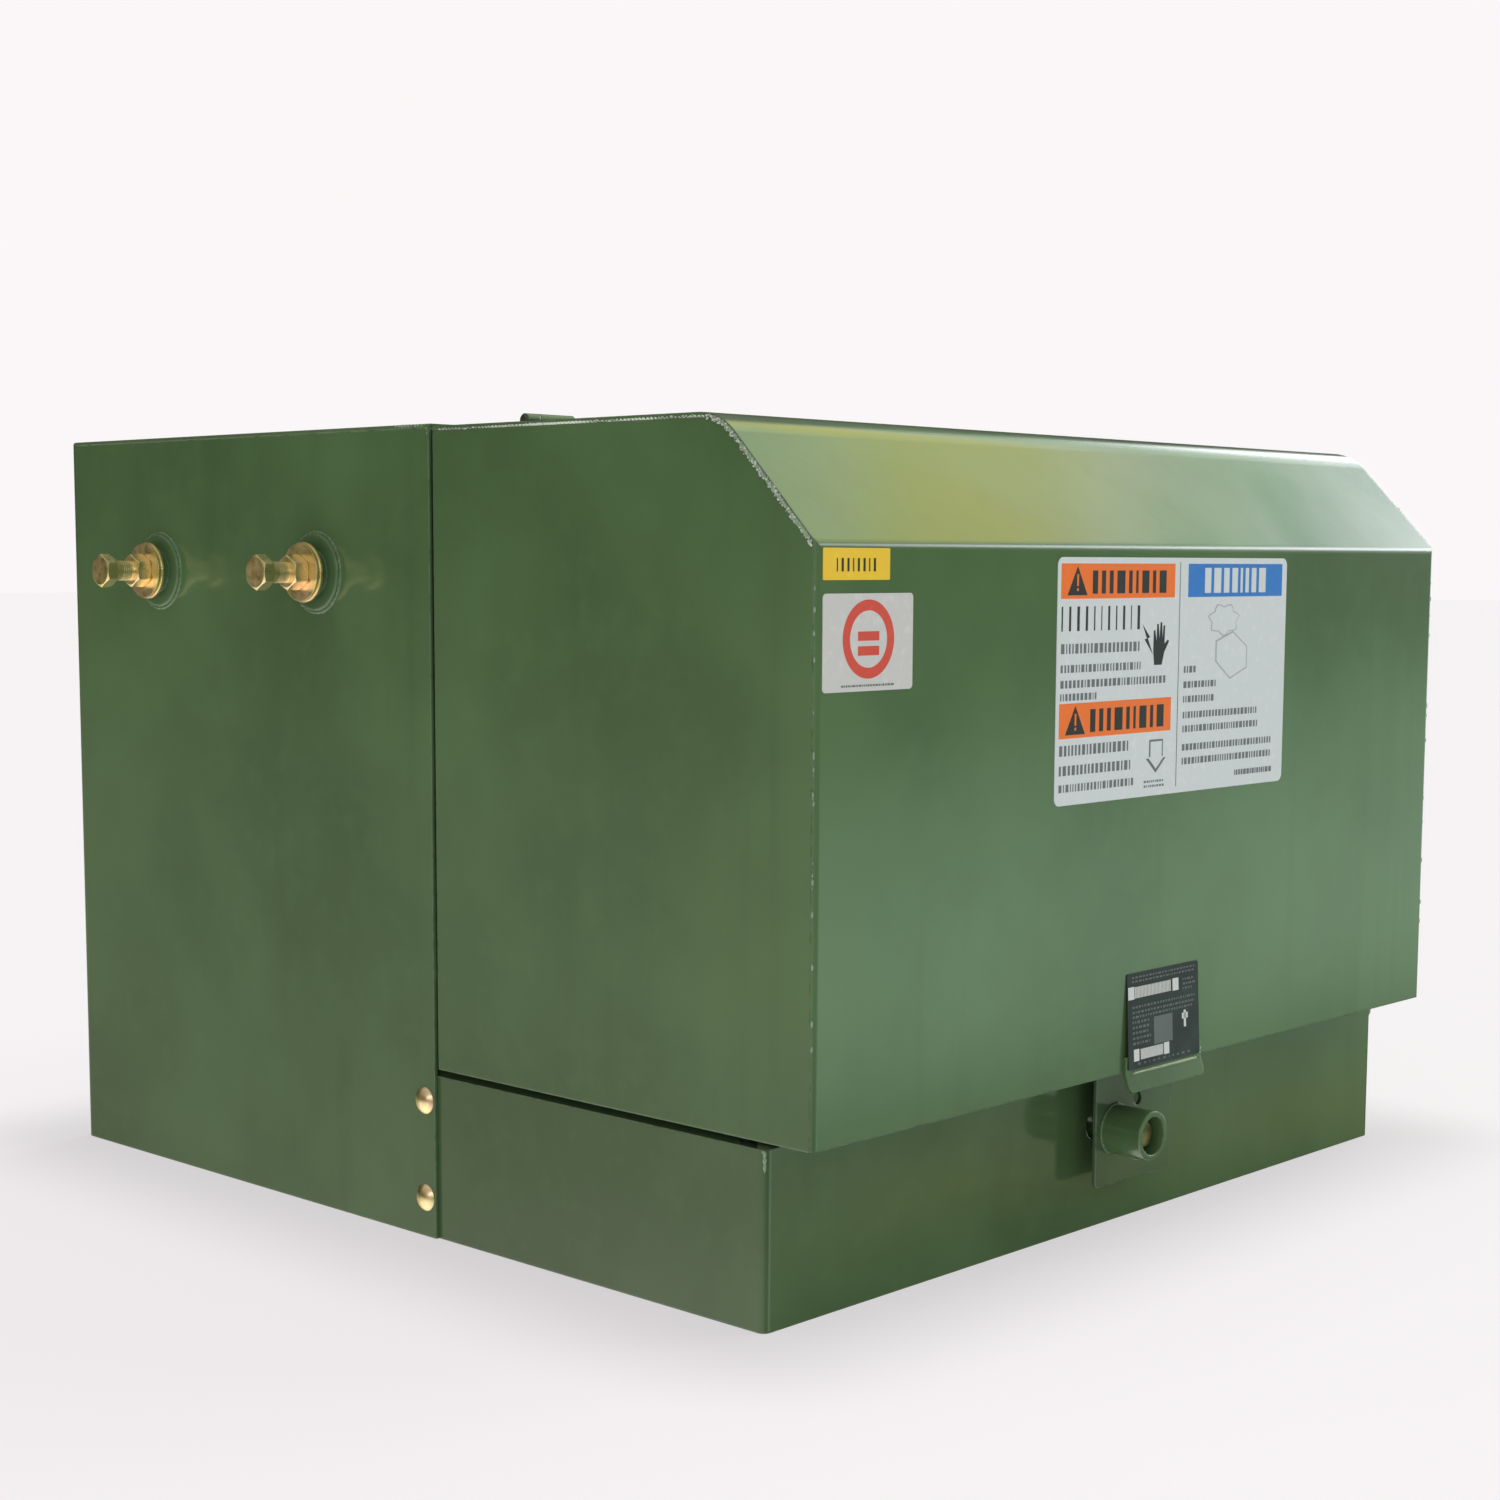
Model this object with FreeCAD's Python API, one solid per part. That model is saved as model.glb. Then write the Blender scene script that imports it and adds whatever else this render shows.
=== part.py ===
"""Low-profile pad-mounted distribution transformer, single phase, with a flip-top hood.

Millimetres, +Z up. The hood faces -Y, the oil tank is at +Y, and the high-voltage side
of the cable compartment is at -X. Z = 0 is the face that rests on the concrete pad.
"""
import FreeCAD, Part
import math
import os

os.makedirs("parts", exist_ok=True)
V = FreeCAD.Vector

# ---------------------------------------------------------------- driving dimensions
WIDTH = 804.0            # tank and hood, outside
HEIGHT = 610.0           # pad to tank cover
Y_BACK = 439.0           # rear wall, outside
Y_EDGE = -49.0           # front edge of the tank side sheets and cover
Y_PLATE = -14.0          # outer face of the recessed tank front plate
Y_HOOD = -429.0          # front face of the hood
SHEET = 3.0              # steel sheet
FLOOR_T = 4.0            # tank bottom plate
BACK_R = 9.0             # inside radius of the rear tank corners

HOOD_GAP = 4.0           # between hood and tank
HOOD_BOTTOM = 131.0
HOOD_TOP = 608.0
FOLD_Z = 523.0           # where the hood front turns back at 45 degrees
SLANT_RUN = 84.0         # depth of the sloping panel
FOLD_R = 9.0             # outside bend radius, front to slope
ROOF_R = 45.0            # outside bend radius, slope to top
CORNER_R = 5.0           # vertical front corners
PLATE_SET = 0.6          # side plates sit this far in from the ends of the bent sheet
HOOD_REAR = Y_EDGE - HOOD_GAP

SILL_TOP = 125.0
SILL_FRONT = Y_HOOD + 44.0
SILL_BACK = -19.0        # how far the sill legs run in behind the tank sheets
SILL_FLANGE = 26.0
SILL_BOLT_Y = Y_EDGE + 12.0
SILL_BOLT_Z = (30.0, 105.0)
ANCHOR_X = 330.0         # hold-down holes in the bottom flange
BUMPER_X = 386.0         # rubber buttons under the hood sides
BUMPER_Y = -358.0

LIFT_Y = (88.0, 302.0)   # lifting bolts, two a side
LIFT_Z = 501.0
LIFT_OUT = 57.0          # how far a lifting bolt stands out of the tank side
BOSS_OUT = 11.0          # how far its boss stands out
BOLT_R = 7.9             # 5/8 in bolts

HINGE_X = 286.0          # centres of the two hood hinges
HINGE_W = 48.0
HINGE_R = 5.0
PIN_R = 2.5
PIN_PLAY = 0.05
HINGE_Y = -51.0
HINGE_Z = 616.5
KNUCKLE = 22.0           # width of the moving centre knuckle

LIP_TOP = 143.0          # pull lip under the hood front
LIP_LEFT = -52.5
LIP_RIGHT = 48.5

LOCK_Z = 80.0            # lock cup centre
LOCK_X = -25.0
LOCK_PLATE_Y = Y_HOOD + 25.0
CUP_R = 19.0
CUP_BORE = 14.5
CUP_LENGTH = 35.0
LOCK_BOLT_R = 6.35
LOCK_TRAVEL = 15.63      # how far the captive bolt screws in, 8 turns
HEAD_BACK = LOCK_PLATE_Y - 0.3 - LOCK_TRAVEL
RING_OUT = 9.5           # captive ring on the bolt, behind the lock plate
GROOVE_R = 5.2
PLATE_HALF = 50.0        # lock plate
PLATE_LOW = 37.0

HV_X = (-310.0, -160.0)
HV_Z = 430.0
HV_HOLE = 30.0           # hole in the front plate
LV_X = (105.0, 215.0, 325.0)
LV_Z = (430.0, 345.0, 430.0)
LV_HOLE = 26.0
SPADE_HUB = 62.0         # distance out to the spade hub
SPADE_Y = Y_PLATE - SPADE_HUB - 84.0
SPADE_HOLE = 7.2
SPADE_PITCH = 44.5
FUSE_X = -40.0
FUSE_Z = 520.0
TAP_X = -20.0
TAP_Z = 425.0
RELIEF_X = 60.0
RELIEF_Z = 560.0
FILL_X = 160.0
FILL_Z = 555.0
LEVEL_Z = 505.0
DRAIN_X = 0.0
DRAIN_Z = 62.0
GROUND_X = 345.0
GROUND_Z = 80.0
STRAP_Z = 262.0
STRAP_T = 2.0

CORE_Y = 214.0           # centre of the core and coils
CORE_DEPTH = 190.0
CORE_BUILD = 62.0
CORE_WINDOW = 100.0
CORE_BASE = 55.0
CORE_HEIGHT = 390.0
COIL_LOW = 125.0
COIL_HIGH = 375.0

HALF = WIDTH / 2
INNER = HALF - SHEET


# ---------------------------------------------------------------- small helpers
def save(name, shapes):
    """Write one node; several loose solids become one group."""
    if isinstance(shapes, (list, tuple)):
        shape = Part.makeCompound(list(shapes))
    else:
        shape = shapes
    shape.exportStep("parts/" + name + ".step")


def box(x0, x1, y0, y1, z0, z1):
    return Part.makeBox(x1 - x0, y1 - y0, z1 - z0, V(x0, y0, z0))


def rod(radius, start, axis, length):
    return Part.makeCylinder(radius, length, V(*start), V(*axis))


def tube(outer, inner, start, axis, length):
    return rod(outer, start, axis, length).cut(rod(inner, start, axis, length))


def fuse_all(shapes):
    return shapes[0].multiFuse(shapes[1:]).removeSplitter()


def prism(points, direction):
    """Closed flat outline pushed along a direction."""
    pts = [V(*p) for p in points]
    return Part.Face(Part.makePolygon(pts + [pts[0]])).extrude(V(*direction))


def polygon_rod(sides, flats, start, axis, length):
    """Bar with a regular polygon section, sized across the flats, along X, Y or Z."""
    radius = flats / 2 / math.cos(math.pi / sides)
    a = V(*axis)
    u = V(0, 0, 1) if abs(a.z) < 0.5 else V(1, 0, 0)
    w = a.cross(u)
    pts = []
    for i in range(sides):
        t = 2 * math.pi * i / sides
        p = V(*start) + u * (radius * math.cos(t)) + w * (radius * math.sin(t))
        pts.append((p.x, p.y, p.z))
    return prism(pts, tuple(a * length))


def turned(profile, x, z, y=Y_PLATE):
    """Revolve (radius, distance out from the front plate) points about a line along Y."""
    pts = [V(x + r, y - s, z) for r, s in profile]
    face = Part.Face(Part.makePolygon(pts + [pts[0]]))
    return face.revolve(V(x, y, z), V(0, 1, 0), 360)


def bent_sheet(path, thick, radius, place, push):
    """Sheet of even thickness with round bends.

    path: corner points of one face, in the plane of the section; the metal lies on the
    left of it. radius: inside bend radius. place(u, v) gives the 3-D point and push is
    the direction and length of the sheet.
    """
    count = len(path)
    units = []
    for i in range(count - 1):
        du = path[i + 1][0] - path[i][0]
        dv = path[i + 1][1] - path[i][1]
        size = math.hypot(du, dv)
        units.append((du / size, dv / size))

    def side(shift):
        """The path moved left by shift, as a list of lines and arcs."""
        steps = []
        here = (path[0][0] - units[0][1] * shift, path[0][1] + units[0][0] * shift)
        for i in range(1, count - 1):
            a, b = units[i - 1], units[i]
            cross = a[0] * b[1] - a[1] * b[0]
            dot = a[0] * b[0] + a[1] * b[1]
            turn = math.atan2(cross, dot)
            left = 1.0 if turn > 0 else -1.0
            base = radius + thick if left > 0 else radius
            cut = base * math.tan(abs(turn) / 2)
            start = (path[i][0] - a[0] * cut, path[i][1] - a[1] * cut)
            centre = (start[0] - left * a[1] * base, start[1] + left * a[0] * base)
            r = base - left * shift
            p = (centre[0] + left * a[1] * r, centre[1] - left * a[0] * r)
            q = (centre[0] + left * b[1] * r, centre[1] - left * b[0] * r)
            half = (path[i][0] - centre[0], path[i][1] - centre[1])
            size = math.hypot(*half)
            mid = (centre[0] + half[0] / size * r, centre[1] + half[1] / size * r)
            steps.append(("line", here, p))
            steps.append(("arc", p, mid, q))
            here = q
        end = (path[-1][0] - units[-1][1] * shift, path[-1][1] + units[-1][0] * shift)
        steps.append(("line", here, end))
        return steps

    def edges(steps):
        made = []
        for step in steps:
            pts = [place(*p) for p in step[1:]]
            if step[0] == "line":
                made.append(Part.makeLine(pts[0], pts[1]))
            else:
                made.append(Part.Arc(pts[0], pts[1], pts[2]).toShape())
        return made

    near = side(0.0)
    far = side(thick)
    cap_a = Part.makeLine(place(*near[0][1]), place(*far[0][1]))
    cap_b = Part.makeLine(place(*near[-1][-1]), place(*far[-1][-1]))
    wire = Part.Wire(Part.__sortEdges__(edges(near) + [cap_b] + edges(far) + [cap_a]))
    return Part.Face(wire).extrude(push)


def rounded_plate(x0, x1, z0, z1, y, thick, radius):
    """Thin upright plate with rounded corners, its back on the plane y."""
    plate = box(x0, x1, y - thick, y, z0, z1)
    corners = []
    for e in plate.Edges:
        a, b = e.Vertexes[0].Point, e.Vertexes[1].Point
        if abs(a.y - b.y) > thick / 2:
            corners.append(e)
    return plate.makeFillet(radius, corners)


def mirrored(shape):
    return shape.mirror(V(0, 0, 0), V(1, 0, 0))


def both_sides(shapes):
    return shapes + [mirrored(s) for s in shapes]


def eased(shape, radius, length, start, axis, bevel):
    """Trim both rims of a nut or bolt head with a shallow cone."""
    a = V(*axis)
    s = V(*start)
    core = rod(radius, tuple(s + a * bevel), axis, length - 2 * bevel)
    low = Part.makeCone(radius - 1.7 * bevel, radius, bevel, s, a)
    high = Part.makeCone(radius, radius - 1.7 * bevel, bevel, s + a * (length - bevel), a)
    return shape.common(fuse_all([low, core, high]))


def hex_nut(flats, bore, start, axis, length):
    nut = polygon_rod(6, flats, start, axis, length)
    nut = eased(nut, flats / 2 * 1.13, length, start, axis, 1.2)
    if bore:
        nut = nut.cut(rod(bore, start, axis, length))
    return nut


def pipe_run(points, radius):
    """Insulated lead: straight runs with round elbows."""
    parts = []
    for a, b in zip(points, points[1:]):
        d = V(*b) - V(*a)
        parts.append(Part.makeCylinder(radius, d.Length, V(*a), d))
    for p in points[1:-1]:
        parts.append(Part.makeSphere(radius, V(*p)))
    return fuse_all(parts)


# ---------------------------------------------------------------- tank
def tank_shell():
    """Sides and back in one bent sheet; the side sheets run on past the front plate."""
    path = [(HALF, Y_EDGE), (HALF, Y_BACK), (-HALF, Y_BACK), (-HALF, Y_EDGE)]
    shell = bent_sheet(path, SHEET, BACK_R, lambda u, v: V(u, v, 0), V(0, 0, HEIGHT - SHEET))
    for z in SILL_BOLT_Z:
        shell = shell.cut(rod(5.0, (-HALF - 1, SILL_BOLT_Y, z), (1, 0, 0), WIDTH + 2))
    return shell


def rounded_slab(x, y0, y1, z0, z1, radius, back):
    """Slab with its two rear (or front) upright corners rounded."""
    slab = box(-x, x, y0, y1, z0, z1)
    rim = y1 if back else y0
    corners = []
    for e in slab.Edges:
        a, b = e.Vertexes[0].Point, e.Vertexes[1].Point
        if abs(a.z - b.z) > 1e-6 and abs(a.y - rim) < 1e-6:
            corners.append(e)
    return slab.makeFillet(radius, corners)


def tank_bottom():
    return rounded_slab(INNER, Y_PLATE + SHEET, Y_BACK - SHEET, 0, FLOOR_T, BACK_R, True)


def tank_cover():
    """Flat cover, edge-welded to the walls, with its outer rim rounded over."""
    cover = rounded_slab(HALF, Y_EDGE, Y_BACK, HEIGHT - SHEET, HEIGHT, BACK_R + SHEET, True)
    rim = []
    for e in cover.Edges:
        box_e = e.BoundBox
        if box_e.ZMin > HEIGHT - 0.01 and box_e.YMax > Y_EDGE + 1:
            rim.append(e)
    return cover.makeFillet(2.2, rim)


def tank_front_plate():
    """Recessed wall that carries every bushing and fitting."""
    plate = box(-INNER, INNER, Y_PLATE, Y_PLATE + SHEET, 0, HEIGHT - SHEET)
    holes = [(x, HV_Z, HV_HOLE) for x in HV_X]
    holes += [(x, z, LV_HOLE) for x, z in zip(LV_X, LV_Z)]
    holes += [(FUSE_X, FUSE_Z, 20.0), (TAP_X, TAP_Z, 12.0), (RELIEF_X, RELIEF_Z, 9.0)]
    holes += [(FILL_X, FILL_Z, 12.0), (FILL_X, LEVEL_Z, 8.0), (DRAIN_X, DRAIN_Z, 12.0)]
    for x, z, r in holes:
        plate = plate.cut(rod(r, (x, Y_PLATE - 1, z), (0, 1, 0), SHEET + 2))
    return plate


# ---------------------------------------------------------------- lifting gear
def lifting_sets():
    """Bosses, bolts, nuts and washers of the four lifting points."""
    bosses, bolts, nuts, washers = [], [], [], []
    for y in LIFT_Y:
        x = HALF
        out = (1, 0, 0)
        pad = tube(30.0, BOLT_R, (x, y, LIFT_Z), out, 3.0)
        rim = [e for e in pad.Edges if e.BoundBox.XMin > x + 2.9 and e.BoundBox.YLength > 50]
        collar = tube(17.5, BOLT_R, (x + 3.0, y, LIFT_Z), out, BOSS_OUT - 3.0)
        bosses.append(fuse_all([pad.makeFillet(2.0, rim), collar]))
        at = x + BOSS_OUT
        washers.append(tube(23.2, BOLT_R, (at, y, LIFT_Z), out, 1.8))
        washers.append(tube(22.3, BOLT_R, (at + 1.8, y, LIFT_Z), out, 3.0))
        nuts.append(hex_nut(24.0, BOLT_R, (at + 4.8, y, LIFT_Z), out, 13.0))
        shank = rod(BOLT_R, (x, y, LIFT_Z), out, LIFT_OUT - 10.0)
        head = hex_nut(24.0, 0, (x + LIFT_OUT - 10.0, y, LIFT_Z), out, 10.0)
        bolts.append(fuse_all([shank, head]))
    save("lifting_bosses", both_sides(bosses))
    save("lifting_bolts", both_sides(bolts))
    save("lifting_nuts", both_sides(nuts))
    save("lifting_washers", both_sides(washers))


# ---------------------------------------------------------------- sill
def sill():
    """Three-sided skirt under the hood, bolted in behind the tank side sheets."""
    outer = rounded_slab(INNER, SILL_FRONT, SILL_BACK, 0, SILL_TOP, 6.0, False)
    hollow = rounded_slab(INNER - SHEET, SILL_FRONT + SHEET, SILL_BACK + 1, SHEET,
                          SILL_TOP - SHEET, 3.0, False)
    inset = SILL_FLANGE
    well = box(-INNER + inset, INNER - inset, SILL_FRONT + inset, SILL_BACK + 1, -1, SILL_TOP + 1)
    body = outer.cut(hollow).cut(well)
    body = body.cut(rod(11.0, (LOCK_X, SILL_FRONT - 1, LOCK_Z), (0, 1, 0), 5))
    for z in SILL_BOLT_Z:
        body = body.cut(rod(5.0, (-HALF, SILL_BOLT_Y, z), (1, 0, 0), WIDTH))
    for x in (-ANCHOR_X, ANCHOR_X):
        body = body.cut(rod(7.0, (x, SILL_FRONT + 15.0, -1), (0, 0, 1), 5))
    for x in (-BUMPER_X, BUMPER_X):
        body = body.cut(rod(3.0, (x, BUMPER_Y, SILL_TOP - 4), (0, 0, 1), 5))
    return body


def sill_fasteners():
    """Round-head carriage bolts from outside, flange nuts inside."""
    bolts, nuts = [], []
    for z in SILL_BOLT_Z:
        start = V(HALF, SILL_BOLT_Y, z)
        crown = 5.5
        reach = 10.5
        ball = (reach ** 2 + crown ** 2) / (2 * crown)
        dome = Part.makeSphere(ball, start + V(crown - ball, 0, 0))
        dome = dome.common(rod(reach, tuple(start), (1, 0, 0), crown + 1))
        shank = rod(4.76, tuple(start + V(-22, 0, 0)), (1, 0, 0), 22)
        bolts.append(fuse_all([dome, shank]))
        seat = INNER - SHEET
        flange = tube(9.5, 4.76, (seat, SILL_BOLT_Y, z), (-1, 0, 0), 1.8)
        nut = hex_nut(14.3, 4.76, (seat - 1.8, SILL_BOLT_Y, z), (-1, 0, 0), 8.0)
        nuts.append(fuse_all([flange, nut]))
    save("sill_carriage_bolts", both_sides(bolts))
    save("sill_flange_nuts", both_sides(nuts))


def hood_bumpers():
    """Rubber buttons on the sill that the closed hood comes down on."""
    head = rod(6.0, (BUMPER_X, BUMPER_Y, SILL_TOP), (0, 0, 1), HOOD_BOTTOM - SILL_TOP - 0.3)
    stem = rod(3.0, (BUMPER_X, BUMPER_Y, SILL_TOP - SHEET), (0, 0, 1), SHEET)
    return both_sides([fuse_all([head, stem])])


def lock_nut():
    """Weld nut behind the sill front that the captive bolt screws into."""
    start = (LOCK_X, SILL_FRONT + SHEET, LOCK_Z)
    return hex_nut(30.0, LOCK_BOLT_R + 0.3, start, (0, 1, 0), 12.0)


# ---------------------------------------------------------------- hinges
def hinge_spans(x):
    half = HINGE_W / 2
    play = 0.4
    return [(x - half, x - KNUCKLE / 2 - play), (x + KNUCKLE / 2 + play, x + half)]


def hinge_tank_leaves():
    """Leaf welded to the cover with the two outer knuckles."""
    made = []
    for x in (-HINGE_X, HINGE_X):
        leaf = box(x - HINGE_W / 2, x + HINGE_W / 2, HINGE_Y + 1, -20, HEIGHT, HEIGHT + SHEET)
        start = (x - KNUCKLE / 2 - 0.4, HINGE_Y, HINGE_Z)
        leaf = leaf.cut(rod(HINGE_R + 0.5, start, (1, 0, 0), KNUCKLE + 0.8))
        parts = [leaf]
        for a, b in hinge_spans(x):
            parts.append(rod(HINGE_R, (a, HINGE_Y, HINGE_Z), (1, 0, 0), b - a))
        body = fuse_all(parts)
        made.append(body.cut(rod(PIN_R, (x - 40, HINGE_Y, HINGE_Z), (1, 0, 0), 80)))
    return made


def hinge_hood_leaves():
    """Leaf welded to the hood top with the centre knuckle."""
    made = []
    for x in (-HINGE_X, HINGE_X):
        z0 = HOOD_TOP
        wide = box(x - HINGE_W / 2, x + HINGE_W / 2, -84, -58, z0, z0 + SHEET)
        neck = box(x - KNUCKLE / 2, x + KNUCKLE / 2, -60, HINGE_Y, z0, z0 + SHEET)
        web = box(x - KNUCKLE / 2, x + KNUCKLE / 2, -57, HINGE_Y, z0 + 1, z0 + 7)
        knuckle = rod(HINGE_R, (x - KNUCKLE / 2, HINGE_Y, HINGE_Z), (1, 0, 0), KNUCKLE)
        body = fuse_all([wide, neck, web, knuckle])
        bore = rod(PIN_R + PIN_PLAY, (x - 40, HINGE_Y, HINGE_Z), (1, 0, 0), 80)
        made.append(body.cut(bore))
    return made


def hinge_pins():
    made = []
    for x in (-HINGE_X, HINGE_X):
        pin = rod(PIN_R, (x - HINGE_W / 2, HINGE_Y, HINGE_Z), (1, 0, 0), HINGE_W)
        head = rod(3.6, (x - HINGE_W / 2 - 1.6, HINGE_Y, HINGE_Z), (1, 0, 0), 1.6)
        tail = rod(3.2, (x + HINGE_W / 2, HINGE_Y, HINGE_Z), (1, 0, 0), 1.2)
        made.append(fuse_all([pin, head, tail]))
    return made


# ---------------------------------------------------------------- hood
def hood_block(inset, half_x, bottom, rear):
    """Solid hood form, its five-sided section moved in by inset, with both folds round."""
    slope = math.atan2(SLANT_RUN, HOOD_TOP - FOLD_Z)
    front = Y_HOOD + inset
    fold_z = FOLD_Z - inset * math.tan(slope / 2)
    top = HOOD_TOP - inset
    top_y = Y_HOOD + SLANT_RUN + inset * math.tan((math.pi / 2 - slope) / 2)
    outline = [(front, bottom), (front, fold_z), (top_y, top), (rear, top), (rear, bottom)]
    block = prism([(-half_x, a, b) for a, b in outline], (2 * half_x, 0, 0))
    low, high = [], []
    for e in block.Edges:
        a, b = e.Vertexes[0].Point, e.Vertexes[1].Point
        if abs(a.x - b.x) < half_x:
            continue
        if abs(a.z - fold_z) < 1e-6:
            low.append(e)
        elif abs(a.y - top_y) < 1e-6 and abs(a.z - top) < 1e-6:
            high.append(e)
    return round_edges(round_edges(block, low, FOLD_R - inset), high, ROOF_R - inset)


def round_edges(shape, edges, radius):
    """Fillet the edges of a shape that start and end where the given edges do."""
    keys = [sorted(tuple(v.Point) for v in e.Vertexes) for e in edges]
    found = [e for e in shape.Edges if sorted(tuple(v.Point) for v in e.Vertexes) in keys]
    return shape.makeFillet(radius, found)


def hood_sheets():
    """Bent front-and-top sheet, and a plate welded inside each of its open ends."""
    form = hood_block(0, HALF, HOOD_BOTTOM, HOOD_REAR)
    hollow = hood_block(SHEET, HALF + 5, 60, HOOD_REAR + 20)
    plan = rounded_slab(HALF, Y_HOOD, HOOD_REAR, HOOD_BOTTOM, HOOD_TOP, CORNER_R, False)
    save("hood_wrap", form.cut(hollow).common(plan))
    filled = form.common(hollow)
    outer = HALF - PLATE_SET
    right = filled.common(box(outer - SHEET, outer, Y_HOOD, HOOD_REAR, HOOD_BOTTOM, HOOD_TOP))
    save("hood_side_right", right)
    save("hood_side_left", mirrored(right))


def hood_rest_tabs():
    """Small welded tabs inside the hood sides that meet the rubber buttons."""
    reach = INNER - PLATE_SET
    tab = box(reach - 26, reach, BUMPER_Y - 15, BUMPER_Y + 15, HOOD_BOTTOM, HOOD_BOTTOM + SHEET)
    return both_sides([tab])


def hood_stiffener():
    """Angle that stiffens the rear edge of the hood top and takes the hinge load."""
    top = HOOD_TOP - SHEET
    path = [(-62, top), (-100, top), (-100, top - 30)]
    x = INNER - PLATE_SET
    return bent_sheet(path, SHEET, 3.0, lambda u, v: V(-x, u, v), V(2 * x, 0, 0))


def pull_lip():
    """Flared lip welded over the bottom edge of the hood front, gripped to lift the hood."""
    path = [(Y_HOOD - SHEET, LIP_TOP), (Y_HOOD - SHEET, 130), (Y_HOOD - 7.5, 116.5)]
    width = LIP_RIGHT - LIP_LEFT
    lip = bent_sheet(path, SHEET, 3.0, lambda u, v: V(LIP_LEFT, u, v), V(width, 0, 0))
    low = lip.BoundBox.ZMin
    outline = rounded_plate(LIP_LEFT, LIP_RIGHT, low, LIP_TOP + 20, Y_HOOD + 20, 60, 7.0)
    return lip.common(outline)


def rating_plate():
    """Thin plate fixed flat at its top edge and leaning out over the lip at the bottom."""
    thick = 0.8
    top, low = 205.5, 133.0
    lean = SHEET / (top - LIP_TOP)
    foot = Y_HOOD - lean * (top - low)
    outline = [(Y_HOOD, top), (foot, low), (foot - thick, low), (Y_HOOD - thick, top)]
    plate = prism([(-51.0, a, b) for a, b in outline], (95.5, 0, 0))
    return plate.common(rounded_plate(-51.0, 44.5, low, top, Y_HOOD + 5, 30, 2.0))


def front_labels():
    """Stickers on the hood front: width, height and place only, no printing."""
    save("warning_label", rounded_plate(-146, 160, 338, 515, Y_HOOD, 0.4, 6.0))
    save("unit_number_label", rounded_plate(-395.5, -330, 499.5, 520, Y_HOOD, 0.4, 1.0))
    save("square_label", rounded_plate(-395.5, -306, 428, 491, Y_HOOD, 0.4, 3.0))


# ---------------------------------------------------------------- lock
def lock_plate():
    """Bent plate hung from the inside of the hood front, standing clear of the sill."""
    back = LOCK_PLATE_Y + SHEET
    path = [(back, PLATE_LOW), (back, 150), (Y_HOOD + 2 * SHEET, 150), (Y_HOOD + 2 * SHEET, 176)]
    width = 2 * PLATE_HALF
    plate = bent_sheet(path, SHEET, 3.0, lambda u, v: V(-PLATE_HALF, u, v), V(width, 0, 0))
    for x, z, r in ((LOCK_X, LOCK_Z, 7.0), (5.0, 99.0, 5.0), (5.0, 56.0, 5.0)):
        plate = plate.cut(rod(r, (x, LOCK_PLATE_Y - 1, z), (0, 1, 0), SHEET + 2))
    outline = rounded_plate(-PLATE_HALF, PLATE_HALF, PLATE_LOW, 180, 0, 900, 5.0)
    return plate.common(outline)


def lock_cup():
    """Guard tube round the five-sided bolt head, welded to the lock plate."""
    mouth = (LOCK_X, LOCK_PLATE_Y - CUP_LENGTH, LOCK_Z)
    cup = tube(CUP_R, CUP_BORE, mouth, (0, 1, 0), CUP_LENGTH)
    rim = [e for e in cup.Edges if e.BoundBox.YMax < mouth[1] + 0.01]
    return cup.makeFillet(0.8, rim)


def lock_bolt():
    """Captive bolt with a five-sided head, drawn fully back."""
    axis = (0, 1, 0)
    head = polygon_rod(5, 19.0, (LOCK_X, HEAD_BACK - 11, LOCK_Z), axis, 9.0)
    head = eased(head, 11.4, 9.0, (LOCK_X, HEAD_BACK - 11, LOCK_Z), axis, 0.8)
    flange = rod(13.2, (LOCK_X, HEAD_BACK - 2, LOCK_Z), axis, 2.0)
    ring_y = LOCK_PLATE_Y + SHEET + 0.4
    neck = rod(LOCK_BOLT_R, (LOCK_X, HEAD_BACK, LOCK_Z), axis, ring_y - 0.1 - HEAD_BACK)
    groove = rod(GROOVE_R, (LOCK_X, ring_y - 0.1, LOCK_Z), axis, 1.7)
    tip_y = SILL_FRONT - 3.0
    point = rod(LOCK_BOLT_R, (LOCK_X, ring_y + 1.6, LOCK_Z), axis, tip_y - ring_y - 3.1)
    nose = Part.makeCone(LOCK_BOLT_R, 4.9, 1.5, V(LOCK_X, tip_y - 1.5, LOCK_Z), V(*axis))
    return fuse_all([head, flange, neck, groove, point, nose])


def lock_ring():
    """Ring in the bolt's groove that stops it from falling out of the lock plate."""
    start = (LOCK_X, LOCK_PLATE_Y + SHEET + 0.4, LOCK_Z)
    return tube(RING_OUT, GROOVE_R + 0.05, start, (0, 1, 0), 1.5)


# ---------------------------------------------------------------- bushings
def hv_wells():
    """Primary bushing wells: a flange outside, a stem in the oil, a tapered socket."""
    outline = [(0, -93), (16, -93), (27, -SHEET), (HV_HOLE, -SHEET), (HV_HOLE, 0), (50, 0)]
    outline += [(50, 10), (37, 10), (33, 62), (25, 62), (17, 8), (0, 8)]
    return [turned(outline, x, HV_Z) for x in HV_X]


def hv_inserts():
    """Load-break inserts seated in the wells."""
    outline = [(0, 8.3), (16.8, 8.3), (24.8, 61.9), (24.8, 62), (38, 62), (38, 78), (29, 84)]
    outline += [(27, 90), (20, 168), (17, 170), (17, 188), (6, 188), (6, 120), (0, 120)]
    return [turned(outline, x, HV_Z) for x in HV_X]


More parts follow.
